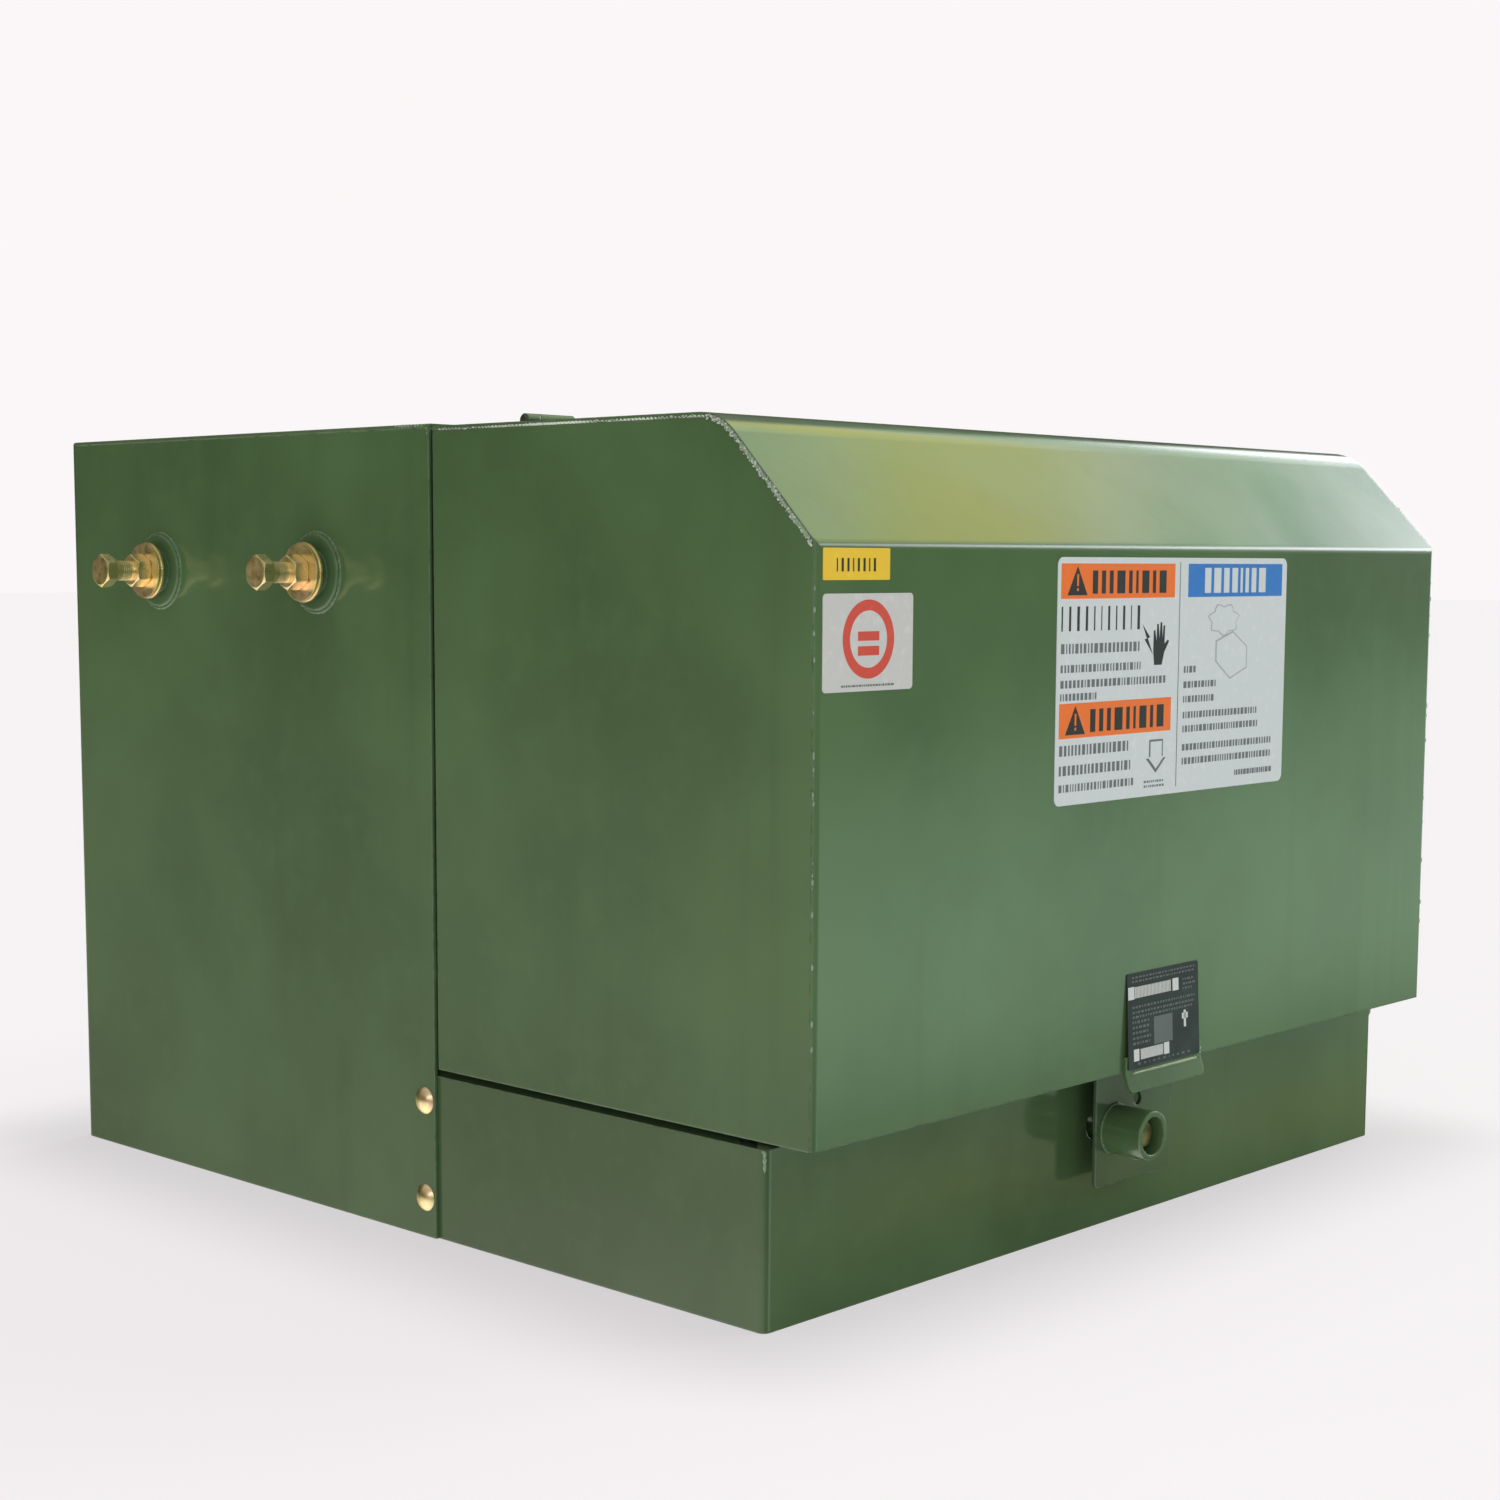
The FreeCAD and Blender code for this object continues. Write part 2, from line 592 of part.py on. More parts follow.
def hv_cap(x):
    """Insulating cap pushed over an insert, with a pulling eye on its end."""
    outline = [(0, 188.3), (17.3, 188.3), (17.3, 170.2), (20.3, 168.2)]
    outline += [(27.3, 90.5), (33, 90.5), (33, 106), (29, 112), (25, 196), (22, 200), (0, 200)]
    cap = turned(outline, x, HV_Z)
    y = Y_PLATE - 200
    neck = box(x - 6, x + 6, y - 8, y + 2, HV_Z - 5, HV_Z + 5)
    hole = rod(8.0, (x - 7, y - 20, HV_Z), (1, 0, 0), 14)
    eye = rod(14.0, (x - 4, y - 20, HV_Z), (1, 0, 0), 8).cut(hole)
    return fuse_all([cap, neck.cut(hole), eye])


def lv_bushings():
    """Moulded secondary bushings."""
    outline = [(9.5, -50), (20, -50), (24, -SHEET), (LV_HOLE, -SHEET), (LV_HOLE, 0), (40, 0)]
    outline += [(40, 10), (30, 10), (28, 30), (25, 32), (25, 48), (22, 50), (9.5, 50)]
    return [turned(outline, x, z) for x, z in zip(LV_X, LV_Z)]


def lv_studs():
    """Copper studs through the secondary bushings."""
    return [rod(9.5, (x, Y_PLATE - 150, z), (0, 1, 0), 220) for x, z in zip(LV_X, LV_Z)]


def lv_spades():
    """Tin-plated spade terminals screwed on the studs, four holes each."""
    made = []
    for x, z in zip(LV_X, LV_Z):
        hub = rod(17.0, (x, Y_PLATE - SPADE_HUB - 40, z), (0, 1, 0), 40)
        pad = box(x - 6, x + 6, Y_PLATE - SPADE_HUB - 122, Y_PLATE - SPADE_HUB - 30, z - 38, z + 38)
        body = fuse_all([hub, pad])
        body = body.cut(rod(9.5, (x, Y_PLATE - 150, z), (0, 1, 0), 100))
        for dy in (-1, 1):
            for dz in (-1, 1):
                y = SPADE_Y + dy * SPADE_PITCH / 2
                at = (x - 20, y, z + dz * SPADE_PITCH / 2)
                body = body.cut(rod(SPADE_HOLE, at, (1, 0, 0), 40))
        made.append(body)
    return made


def lv_jam_nuts():
    """Nuts that pull the studs tight; the middle one also clamps the bonding strap."""
    made = []
    for x, z, packing in zip(LV_X, LV_Z, (0.0, STRAP_T, 0.0)):
        made.append(hex_nut(32.0, 9.5, (x, Y_PLATE - 60 - packing, z), (0, 1, 0), 10))
    return made


def clamp_sets():
    """Clamp rings, studs and nuts that hold the bushing flanges on the front plate."""
    rings, studs, nuts = [], [], []
    seats = [(x, HV_Z, 50.0, 38.5, 10.0) for x in HV_X]
    seats += [(x, z, 40.0, 31.0, 10.0) for x, z in zip(LV_X, LV_Z)]
    for x, z, flange, hole, depth in seats:
        circle = flange + 6.5
        lip = tube(flange + 12.5, flange, (x, Y_PLATE, z), (0, -1, 0), depth)
        face = tube(flange + 12.5, hole, (x, Y_PLATE - depth, z), (0, -1, 0), 4.0)
        ring = fuse_all([lip, face])
        ring = ring.cut(turned([(0, 9), (hole, 9), (hole, 20), (0, 20)], x, z))
        for k in range(4):
            t = math.radians(45 + 90 * k)
            at = (x + circle * math.cos(t), Y_PLATE, z + circle * math.sin(t))
            ring = ring.cut(rod(4.0, at, (0, -1, 0), 30))
            studs.append(rod(4.0, at, (0, -1, 0), depth + 16))
            top = (at[0], Y_PLATE - depth - 4.0, at[2])
            nuts.append(hex_nut(12.7, 4.0, top, (0, -1, 0), 7.0))
        rings.append(ring)
    save("bushing_clamp_rings", rings)
    save("bushing_clamp_studs_nuts", studs + nuts)


def parking_stand():
    """Bracket between the wells where a live elbow is parked."""
    x = sum(HV_X) / 2
    z = HV_Z - 100
    back = box(x - 30, x + 30, Y_PLATE - 4, Y_PLATE, z - 25, z + 25)
    shelf = box(x - 30, x + 30, Y_PLATE - 62, Y_PLATE - 4, z - 2, z + 2)
    slot = box(x - 8, x + 8, Y_PLATE - 70, Y_PLATE - 30, z - 5, z + 5)
    cheeks = [box(a, a + 4, Y_PLATE - 62, Y_PLATE - 4, z + 2, z + 18) for a in (x - 30, x + 26)]
    return fuse_all([back, shelf.cut(slot)] + cheeks)


# ---------------------------------------------------------------- fittings on the front plate
def fuse_housing():
    """Tube of the pull-out fuse, open at its outer end."""
    outline = [(13, -150), (20, -150), (20, 0), (34, 0), (34, 7), (22, 9), (22, 62), (25, 64)]
    outline += [(25, 74), (13, 74)]
    return turned(outline, FUSE_X, FUSE_Z)


def fuse_holder():
    """Insulating pull rod with a cap and an eye for a hot stick."""
    outline = [(0, -40), (12.7, -40), (12.7, 74.3), (24, 74.3), (24, 88), (15, 94), (0, 94)]
    rod_part = turned(outline, FUSE_X, FUSE_Z)
    y = Y_PLATE - 94
    stem = box(FUSE_X - 5, FUSE_X + 5, y - 6, y + 1, FUSE_Z - 6, FUSE_Z + 6)
    eye = rod(13.0, (FUSE_X - 4, y - 15, FUSE_Z), (1, 0, 0), 8)
    hole = rod(7.0, (FUSE_X - 10, y - 15, FUSE_Z), (1, 0, 0), 20)
    return fuse_all([rod_part, stem, eye]).cut(hole)


def fuse_cartridge():
    """Fuse link carried on the inner end of the pull rod."""
    outline = [(0, -146), (9, -146), (9, -140), (12.0, -138)]
    outline += [(12.0, -60), (9, -58), (9, -40.1), (0, -40.1)]
    return turned(outline, FUSE_X, FUSE_Z)


def fuse_drip_tray():
    """Folded tray that keeps oil from the fuse off the bushings below."""
    z = FUSE_Z - 40
    left, right = FUSE_X - 34, FUSE_X + 34
    path = [(left, z + 14), (left, z), (right, z), (right, z + 14)]
    y = Y_PLATE - 110
    return bent_sheet(path, 1.5, 1.5, lambda u, v: V(u, y, v), V(0, 110, 0))


def relief_valve():
    """Body with a hexagon, and the pull stem that vents the tank by hand."""
    start = (RELIEF_X, Y_PLATE - 12, RELIEF_Z)
    hexagon = hex_nut(26.0, 4.3, start, (0, 1, 0), 12.0)
    outline = [(4.3, -14), (9, -14), (9, 0), (4.3, 0)]
    neck = turned(outline, RELIEF_X, RELIEF_Z)
    dome = turned([(4.3, 12), (11, 12), (11, 26), (8, 30), (4.3, 30)], RELIEF_X, RELIEF_Z)
    save("relief_valve_body", fuse_all([hexagon, neck, dome]))
    stem = turned([(0, -10), (4.0, -10), (4.0, 30.3), (8, 30.3), (8, 33), (3, 35), (0, 35)],
                  RELIEF_X, RELIEF_Z)
    y = Y_PLATE - 35
    loop = Part.makeTorus(11.0, 1.6, V(RELIEF_X, y - 9.0, RELIEF_Z), V(1, 0, 0))
    joint = rod(3.0, (RELIEF_X, y - 1, RELIEF_Z), (0, 1, 0), 2)
    save("relief_valve_pull", fuse_all([stem, joint, loop]))


def plugs():
    """Fill plug and oil-level plug; returns the two couplings welded to the front plate."""
    coupling = turned([(9, -10), (12, -10), (12, 0), (19, 0), (19, 16), (9, 16)], FILL_X, FILL_Z)
    small = turned([(5, -8), (8, -8), (8, 0), (13, 0), (13, 10), (5, 10)], FILL_X, LEVEL_Z)
    big = turned([(0, -6), (9, -6), (9, 16), (17, 16), (17, 19), (0, 19)], FILL_X, FILL_Z)
    square = hex_nut(20.0, 0, (FILL_X, Y_PLATE - 32, FILL_Z), (0, 1, 0), 13.0)
    fill = fuse_all([big, square])
    stem = turned([(0, -4), (5, -4), (5, 10), (11, 10), (11, 12), (0, 12)], FILL_X, LEVEL_Z)
    head = hex_nut(14.0, 0, (FILL_X, Y_PLATE - 20, LEVEL_Z), (0, 1, 0), 8.0)
    save("tank_plugs", [fill, fuse_all([stem, head])])
    return [coupling, small]


def tap_changer():
    """Off-load tap switch in the oil, its dial outside and the knob that turns it."""
    dial = turned([(7, 0), (42, 0), (42, 2), (7, 2)], TAP_X, TAP_Z)
    bush = turned([(7, -10), (12, -10), (12, 0), (7, 0)], TAP_X, TAP_Z)
    save("tap_dial", dial)
    drum = turned([(7, -62), (36, -62), (36, -96), (7, -96)], TAP_X, TAP_Z)
    cage = turned([(7, -10), (16, -10), (16, -62), (7, -62)], TAP_X, TAP_Z)
    save("tap_switch", fuse_all([bush, cage, drum]))
    shaft = turned([(0, -98), (6.95, -98), (6.95, 4), (22, 4), (22, 20), (20, 22), (0, 22)],
                   TAP_X, TAP_Z)
    grip = box(TAP_X - 5, TAP_X + 5, Y_PLATE - 40, Y_PLATE - 20, TAP_Z - 21, TAP_Z + 21)
    grip = grip.makeFillet(2.0, grip.Edges)
    pointer = prism([(TAP_X - 5, Y_PLATE - 4, TAP_Z + 21), (TAP_X + 5, Y_PLATE - 4, TAP_Z + 21),
                     (TAP_X, Y_PLATE - 4, TAP_Z + 31)], (0, -4, 0))
    save("tap_changer_knob", fuse_all([shaft, grip, pointer]))


def drain_valve():
    """Globe drain valve with a hand wheel and a plugged outlet."""
    outline = [(0, -8), (12, -8), (12, 0), (20, 0), (20, 8)]
    outline += [(15, 10), (15, 62), (10, 62), (10, 14), (0, 14)]
    run = turned(outline, DRAIN_X, DRAIN_Z)
    y = Y_PLATE - 34
    ball = Part.makeSphere(20.0, V(DRAIN_X, y, DRAIN_Z))
    inner = rod(10.0, (DRAIN_X, y - 24, DRAIN_Z), (0, 1, 0), 36)
    bonnet = rod(12.0, (DRAIN_X, y, DRAIN_Z), (0, 0, 1), 34)
    room = rod(5.05, (DRAIN_X, y, DRAIN_Z + 12), (0, 0, 1), 40)
    gland = polygon_rod(6, 26.0, (DRAIN_X, y, DRAIN_Z + 24), (0, 0, 1), 8)
    body = fuse_all([run, ball, bonnet, gland]).cut(inner).cut(room)
    stem = rod(5.0, (DRAIN_X, y, DRAIN_Z + 14), (0, 0, 1), 34)
    rim = Part.makeTorus(24.0, 4.0, V(DRAIN_X, y, DRAIN_Z + 44), V(0, 0, 1))
    hub = rod(8.0, (DRAIN_X, y, DRAIN_Z + 38), (0, 0, 1), 12)
    spokes = []
    for k in range(3):
        d = V(math.cos(k * 2.0944 + 0.5236), math.sin(k * 2.0944 + 0.5236), 0)
        spokes.append(Part.makeCylinder(2.6, 24.0, V(DRAIN_X, y, DRAIN_Z + 44), d))
    save("drain_valve_wheel", fuse_all([stem, hub, rim] + spokes))
    plug = turned([(0, 52), (10, 52), (10, 62), (16, 62), (16, 65), (0, 65)], DRAIN_X, DRAIN_Z)
    square = polygon_rod(4, 12.0, (DRAIN_X, Y_PLATE - 75, DRAIN_Z), (0, 1, 0), 10.0)
    save("drain_valve_body", [body, fuse_all([plug, square])])


def earthing():
    """Bonding strap from the neutral stud; returns the bosses welded to the front plate."""
    pads = both_sides([tube(21.0, 6.35, (GROUND_X, Y_PLATE - 14, GROUND_Z), (0, 1, 0), 14)])
    x = LV_X[1]
    stud_z = STRAP_Z - 12
    path = [(Y_PLATE - 52, LV_Z[1] + 17), (Y_PLATE - 52, STRAP_Z + 20), (Y_PLATE - 8, STRAP_Z + 8),
            (Y_PLATE - 8, STRAP_Z - 26)]
    strap = bent_sheet(path, STRAP_T, 3.0, lambda u, v: V(x - 14, u, v), V(28, 0, 0))
    strap = strap.cut(rod(9.5, (x, Y_PLATE - 90, LV_Z[1]), (0, 1, 0), 80))
    strap = strap.cut(rod(5.0, (x, Y_PLATE - 30, stud_z), (0, 1, 0), 40))
    pad = tube(14.0, 5.0, (x, Y_PLATE - 6, stud_z), (0, 1, 0), 6)
    screw = rod(5.0, (x, Y_PLATE - 10, stud_z), (0, 1, 0), 10)
    head = hex_nut(16.0, 0, (x, Y_PLATE - 15, stud_z), (0, 1, 0), 7)
    save("neutral_strap", [strap, fuse_all([screw, head])])
    return pads + [pad]


# ---------------------------------------------------------------- core and coils
def core_loops():
    """Two wound-steel loops side by side, their inner legs through the coils."""
    wide = 2 * CORE_BUILD + CORE_WINDOW
    y0 = CORE_Y - CORE_DEPTH / 2
    loop = box(0.3, wide, y0, y0 + CORE_DEPTH, CORE_BASE, CORE_BASE + CORE_HEIGHT)
    hole = box(CORE_BUILD, CORE_BUILD + CORE_WINDOW, y0 - 1, y0 + CORE_DEPTH + 1,
               CORE_BASE + CORE_BUILD, CORE_BASE + CORE_HEIGHT - CORE_BUILD)
    loop = loop.makeFillet(34.0, along_y(loop))
    return both_sides([loop.cut(hole.makeFillet(8.0, along_y(hole)))])


def along_y(shape):
    found = []
    for e in shape.Edges:
        a, b = e.Vertexes[0].Point, e.Vertexes[1].Point
        if abs(a.y - b.y) > 1:
            found.append(e)
    return found


def coil(inner_x, inner_y, build, low=COIL_LOW, high=COIL_HIGH):
    """Rectangular winding with rounded corners about the inner legs."""
    def block(x, y, r):
        b = box(-x, x, CORE_Y - y, CORE_Y + y, low, high)
        corners = []
        for e in b.Edges:
            if e.BoundBox.ZLength > 1:
                corners.append(e)
        return b.makeFillet(r, corners)
    return block(inner_x + build, inner_y + build, 10 + build).cut(block(inner_x, inner_y, 10))


def core_frame():
    """Clamp plates above and below the core, and the feet that stand on the tank bottom."""
    half_x, half_y = 250.0, 60.0
    top = box(-half_x, half_x, CORE_Y - half_y, CORE_Y + half_y, 445, 451)
    low = box(-half_x, half_x, CORE_Y - half_y, CORE_Y + half_y, 49, 55)
    holes = [(a * 238.0, CORE_Y + b * 45.0) for a in (-1, 1) for b in (-1, 1)]
    rods, nuts = [], []
    for x, y in holes:
        top = top.cut(rod(5.0, (x, y, 440), (0, 0, 1), 20))
        low = low.cut(rod(5.0, (x, y, 40), (0, 0, 1), 20))
        rods.append(rod(5.0, (x, y, 38), (0, 0, 1), 425))
        nuts.append(hex_nut(16.0, 5.0, (x, y, 451), (0, 0, 1), 8))
        nuts.append(hex_nut(16.0, 5.0, (x, y, 41), (0, 0, 1), 8))
    save("core_tie_bolts", rods + nuts)
    foot = box(150, 200, CORE_Y - half_y, CORE_Y + half_y, FLOOR_T, 49)
    foot = foot.cut(box(156, 194, CORE_Y - 100, CORE_Y + 100, FLOOR_T + 6, 43))
    save("core_frame", [top, low] + both_sides([foot]))


def leads():
    """Insulated leads from the windings to the bushings, the fuse and the tap switch."""
    top = COIL_HIGH
    x1, x2, x3 = LV_X
    y = Y_PLATE + 70
    low_side = [
        [(x1, y, LV_Z[0]), (x1, 104, LV_Z[0]), (75, 104, LV_Z[0]), (75, 104, top)],
        [(x2, y, LV_Z[1]), (x2, y + 19, LV_Z[1]), (x2, y + 19, 477), (0, y + 19, 477),
         (0, 104, 477), (0, 104, top)],
        [(x3, y, LV_Z[2]), (x3, y + 24, LV_Z[2]), (x3, y + 24, 505), (40, y + 24, 505),
         (40, 104, 505), (40, 104, top)],
    ]
    stem = Y_PLATE + 93
    fuse_end = Y_PLATE + 150
    high_side = [
        [(HV_X[0], stem, HV_Z), (HV_X[0], 100, HV_Z), (HV_X[0], 100, 490), (-118, 100, 490),
         (-118, 100, top)],
        [(HV_X[1], stem, HV_Z), (HV_X[1], stem + 12, HV_Z), (-140, stem + 12, 400),
         (-140, stem + 12, top)],
        [(FUSE_X - 17, fuse_end, FUSE_Z), (FUSE_X - 17, 148, FUSE_Z), (-100, 148, FUSE_Z),
         (-100, 104, FUSE_Z), (-100, 104, top)],
    ]
    thick = [pipe_run(p, 8.0) for p in low_side]
    thin = [pipe_run(p, 4.0) for p in high_side]
    save("winding_leads", thick + thin)


# ---------------------------------------------------------------- write every node
save("tank_shell", tank_shell())
save("tank_bottom", tank_bottom())
save("tank_cover", tank_cover())
save("tank_front_plate", tank_front_plate())
lifting_sets()
save("sill", [sill(), lock_nut()])
sill_fasteners()
save("hood_bumpers", hood_bumpers())
save("hinge_tank_leaves", hinge_tank_leaves())
save("hinge_hood_leaves", hinge_hood_leaves())
save("hinge_pins", hinge_pins())
hood_sheets()
save("hood_stiffener", [hood_stiffener()] + hood_rest_tabs())
save("pull_lip", pull_lip())
save("rating_plate", rating_plate())
front_labels()
save("lock_plate", lock_plate())
save("lock_cup", lock_cup())
save("lock_bolt", lock_bolt())
save("lock_bolt_ring", lock_ring())
save("hv_bushing_wells", hv_wells())
save("hv_bushing_inserts", hv_inserts())
save("hv_cap_left", hv_cap(HV_X[0]))
save("hv_cap_right", hv_cap(HV_X[1]))
save("lv_bushings", lv_bushings())
save("lv_studs", lv_studs())
save("lv_spades", lv_spades())
save("lv_jam_nuts", lv_jam_nuts())
clamp_sets()
save("parking_stand", parking_stand())
save("fuse_housing", fuse_housing())
save("fuse_holder", fuse_holder())
save("fuse_cartridge", fuse_cartridge())
save("fuse_drip_tray", fuse_drip_tray())
relief_valve()
tap_changer()
drain_valve()
save("front_plate_bosses", plugs() + earthing())
save("core_loops", core_loops())
save("lv_winding", coil(66.0, 99.0, 22.0))
save("winding_barrier", coil(88.5, 121.5, 3.0, COIL_LOW - 4, COIL_HIGH + 4))
save("hv_winding", coil(92.0, 125.0, 62.0))
core_frame()
leads()
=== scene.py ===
"""Finishes, welds, threads and printed plates of a pad-mounted transformer, set on a pale studio floor."""
import bpy
import numpy as np
from mathutils import Matrix, Vector


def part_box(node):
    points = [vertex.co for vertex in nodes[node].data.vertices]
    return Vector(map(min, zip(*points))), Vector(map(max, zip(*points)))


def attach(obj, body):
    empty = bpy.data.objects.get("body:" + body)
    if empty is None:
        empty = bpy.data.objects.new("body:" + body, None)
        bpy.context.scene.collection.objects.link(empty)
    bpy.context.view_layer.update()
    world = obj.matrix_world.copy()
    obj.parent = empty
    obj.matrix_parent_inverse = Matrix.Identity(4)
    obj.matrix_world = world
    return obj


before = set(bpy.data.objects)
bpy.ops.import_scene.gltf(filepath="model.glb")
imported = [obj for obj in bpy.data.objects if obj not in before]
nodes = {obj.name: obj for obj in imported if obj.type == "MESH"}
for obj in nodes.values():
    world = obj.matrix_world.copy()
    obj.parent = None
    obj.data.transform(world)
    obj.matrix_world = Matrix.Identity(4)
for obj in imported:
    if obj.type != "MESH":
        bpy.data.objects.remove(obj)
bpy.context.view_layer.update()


# ---- Tank -------------------------------------------------------------------
# The tank is a box of 3 mm mild steel, bent, seam welded and closed by a welded
# cover and floor. It is shot-blasted, flow-coated and sprayed with a semi-gloss
# olive green enamel, which keeps a little orange peel and takes yard dust.

def light(red, green, blue):
    """Display values 0-255 as scene light: ((c + 0.055) / 1.055) to the power 2.4, or c / 12.92 if dark."""
    c = np.array([red, green, blue], float) / 255
    c = np.where(c <= 0.04045, c / 12.92, ((c + 0.055) / 1.055) ** 2.4)
    return (float(c[0]), float(c[1]), float(c[2]), 1.0)


def deeper(colour, share):
    """A colour darkened to a share of itself."""
    return tuple(c * share for c in colour[:3]) + (1.0,)


def paler(colour, share, lift):
    """A colour brightened: c * share + lift, at most 1."""
    return tuple(min(1, c * share + lift) for c in colour[:3]) + (1.0,)


def add(tree, kind, sockets=None, **settings):
    """One shader node with its settings; its sockets are numbers or fed from another node's output."""
    made = tree.nodes.new("ShaderNode" + kind)
    for key, value in settings.items():
        setattr(made, key, value)
    for key, value in (sockets or {}).items():
        if isinstance(value, bpy.types.NodeSocket):
            tree.links.new(value, made.inputs[key])
        else:
            made.inputs[key].default_value = value
    return made


def over(tree, amount, under, top):
    """Colour of one layer over another: under * (1 - amount) + top * amount."""
    return add(tree, "Mix", {0: amount, 6: under, 7: top}, data_type="RGBA").outputs[2]


def part_of(tree, value, low, high, to_low=0.0, to_high=1.0):
    """A value carried smoothly from the span low-high to the span to_low-to_high, and held at the ends."""
    sockets = {0: value, 1: low, 2: high, 3: to_low, 4: to_high}
    return add(tree, "MapRange", sockets, interpolation_type="SMOOTHSTEP").outputs[0]


def times(tree, a, b, how="MULTIPLY"):
    """The product, sum or difference of two values."""
    return add(tree, "Math", {0: a, 1: b}, operation=how).outputs[0]


def cloudy(tree, where, scale, detail=3.0, rough=0.55):
    """Noise of the given number of lumps per metre."""
    sockets = {"Vector": where, "Scale": scale, "Detail": detail, "Roughness": rough}
    return add(tree, "TexNoise", sockets).outputs[0]


def patchy(tree, where, scale, detail, low=0.0, high=1.0):
    """A value that wanders between low and high in soft patches."""
    return part_of(tree, cloudy(tree, where, scale, detail), 0.3, 0.7, low, high)


def eased(tree, radius, samples):
    """The surface direction with every sharp edge rounded to the given radius."""
    return add(tree, "Bevel", {"Radius": radius}, samples=samples).outputs[0]


def grained(tree, height, strength, distance, under=None):
    """The surface direction, roughened by a height, on top of another direction if one is given."""
    sockets = {"Height": height, "Strength": strength, "Distance": distance}
    if under is not None:
        sockets["Normal"] = under
    return add(tree, "Bump", sockets).outputs[0]


def finish_of(name, **sockets):
    """An empty finish: itself, its tree, the object position, and its shader with its even values set."""
    made = bpy.data.materials.new(name)
    made.use_nodes = True
    tree = made.node_tree
    tree.nodes.clear()
    shader = add(tree, "BsdfPrincipled", {key.replace("_", " "): value for key, value in sockets.items()})
    tree.links.new(shader.outputs[0], add(tree, "OutputMaterial").inputs[0])
    return made, tree, add(tree, "TexCoord").outputs["Object"], shader


def feed(tree, shader, tone, rough, skin):
    """Joins colour, roughness and surface direction to a shader."""
    for key, value in (("Base Color", tone), ("Roughness", rough), ("Normal", skin)):
        tree.links.new(value, shader.inputs[key])


def enamel(name, colour, peel=0.10, dust=0.10, mud=0.0, gloss=0.20, edge_highlight_and_wear=0.6):
    """Sprayed enamel: cloudy colour, rain runs, dust on what faces up, mud low down, and edges painted
    lighter in patches, partly worn paint and partly painted highlight.
    """
    even = {"Specular_IOR_Level": 0.42, "Coat_Weight": 0.35, "Coat_Roughness": 0.09}
    made, tree, where, shader = finish_of(name, **even)
    pale = paler(colour, 1.15, 0.004)
    tone = over(tree, patchy(tree, where, 3.2, 3), deeper(colour, 0.80), pale)
    tone = over(tree, part_of(tree, cloudy(tree, where, 46, 5), 0.42, 0.75, 0, 0.25), tone, pale)
    long_way = add(tree, "Mapping", {"Vector": where, "Scale": (26, 26, 1.3)}).outputs[0]
    runs = part_of(tree, cloudy(tree, long_way, 1.0, 4), 0.52, 0.78, 0, 0.20)
    tone = over(tree, runs, tone, deeper(colour, 0.62))
    facing = add(tree, "NewGeometry")
    up = add(tree, "SeparateXYZ", {0: facing.outputs["Normal"]}).outputs[2]
    settled = times(tree, part_of(tree, up, 0.35, 0.98, 0, dust), patchy(tree, where, 19, 5, 0.45, 1))
    tone = over(tree, settled, tone, light(150, 150, 132))
    if mud:
        height = add(tree, "SeparateXYZ", {0: where}).outputs[2]
        low = times(tree, part_of(tree, height, 0.0, 0.16, mud, 0), patchy(tree, where, 30, 6, 0.2, 1))
        tone = over(tree, low, tone, light(94, 86, 62))
    soft = eased(tree, 0.0020, 4)
    flat = add(tree, "VectorMath", {0: soft, 1: facing.outputs["True Normal"]}, operation="DOT_PRODUCT")
    # Edges are lightened towards light(150, 172, 142) in noisy patches: partly thin worn paint, partly a
    # painted highlight where the rounded edges catch light.
    edge_wear_and_highlight_patches = part_of(tree, cloudy(tree, where, 90, 4), 0.30, 0.56)
    lit_worn_edge = times(tree, part_of(tree, flat.outputs["Value"], 0.995, 0.84), edge_wear_and_highlight_patches)
    tone = over(tree, times(tree, lit_worn_edge, edge_highlight_and_wear), tone, light(150, 172, 142))
    sheen = patchy(tree, where, 7, 4, gloss - 0.05, gloss + 0.025)
    wavy = grained(tree, cloudy(tree, where, 4.2, 1), 0.10, 0.004, soft)
    skin = grained(tree, cloudy(tree, where, 420, 2), peel, 0.0004, wavy)
    feed(tree, shader, tone, times(tree, sheen, times(tree, settled, 0.35), "ADD"), skin)
    return made


def dress(finish, *names):
    """Gives carried-over pieces their finish, in every slot they have."""
    for name in names:
        for slot in nodes[name].material_slots:
            slot.material = finish


green = light(84, 114, 73)
tank_green = enamel("tank_enamel", green)
dress(tank_green, "tank_shell", "tank_cover", "tank_front_plate", "tank_bottom")


# ---- Weld beads -------------------------------------------------------------
# The seams are arc welded by hand from outside and sprayed over with the tank.
# A bead is a low half-round of metal with a ripple at every dab of the rod; most
# beads are drawn in a paler green than the tank, a painted highlight for light on their crests.

def solid(name, points, faces, body, finish, smooth=False):
    """A piece from its points and faces, in one finish; it rides on the body if one is named."""
    mesh = bpy.data.meshes.new(name)
    mesh.from_pydata(np.asarray(points).reshape(-1, 3).tolist(), [], faces)
    mesh.update()
    if smooth:
        mesh.shade_smooth()
    piece = bpy.data.objects.new(name, mesh)
    bpy.context.scene.collection.objects.link(piece)
    mesh.materials.append(finish)
    if body:
        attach(piece, body)
    return piece


def rounds(count):
    """Even angles round a circle: 2 * pi * k / count."""
    return np.arange(count) * 2 * np.pi / count


def ramp_line(corners, step):
    """Points every step along straight runs between corners: corner + share * (next corner - corner)."""
    corners = np.asarray(corners, float)
    spans = np.linalg.norm(np.diff(corners, axis=0), axis=1)
    along = np.concatenate([[0], np.cumsum(spans)])
    marks = np.linspace(0, along[-1], max(4, int(along[-1] / step)))
    return np.stack([np.interp(marks, along, corners[:, k]) for k in range(3)], axis=1)


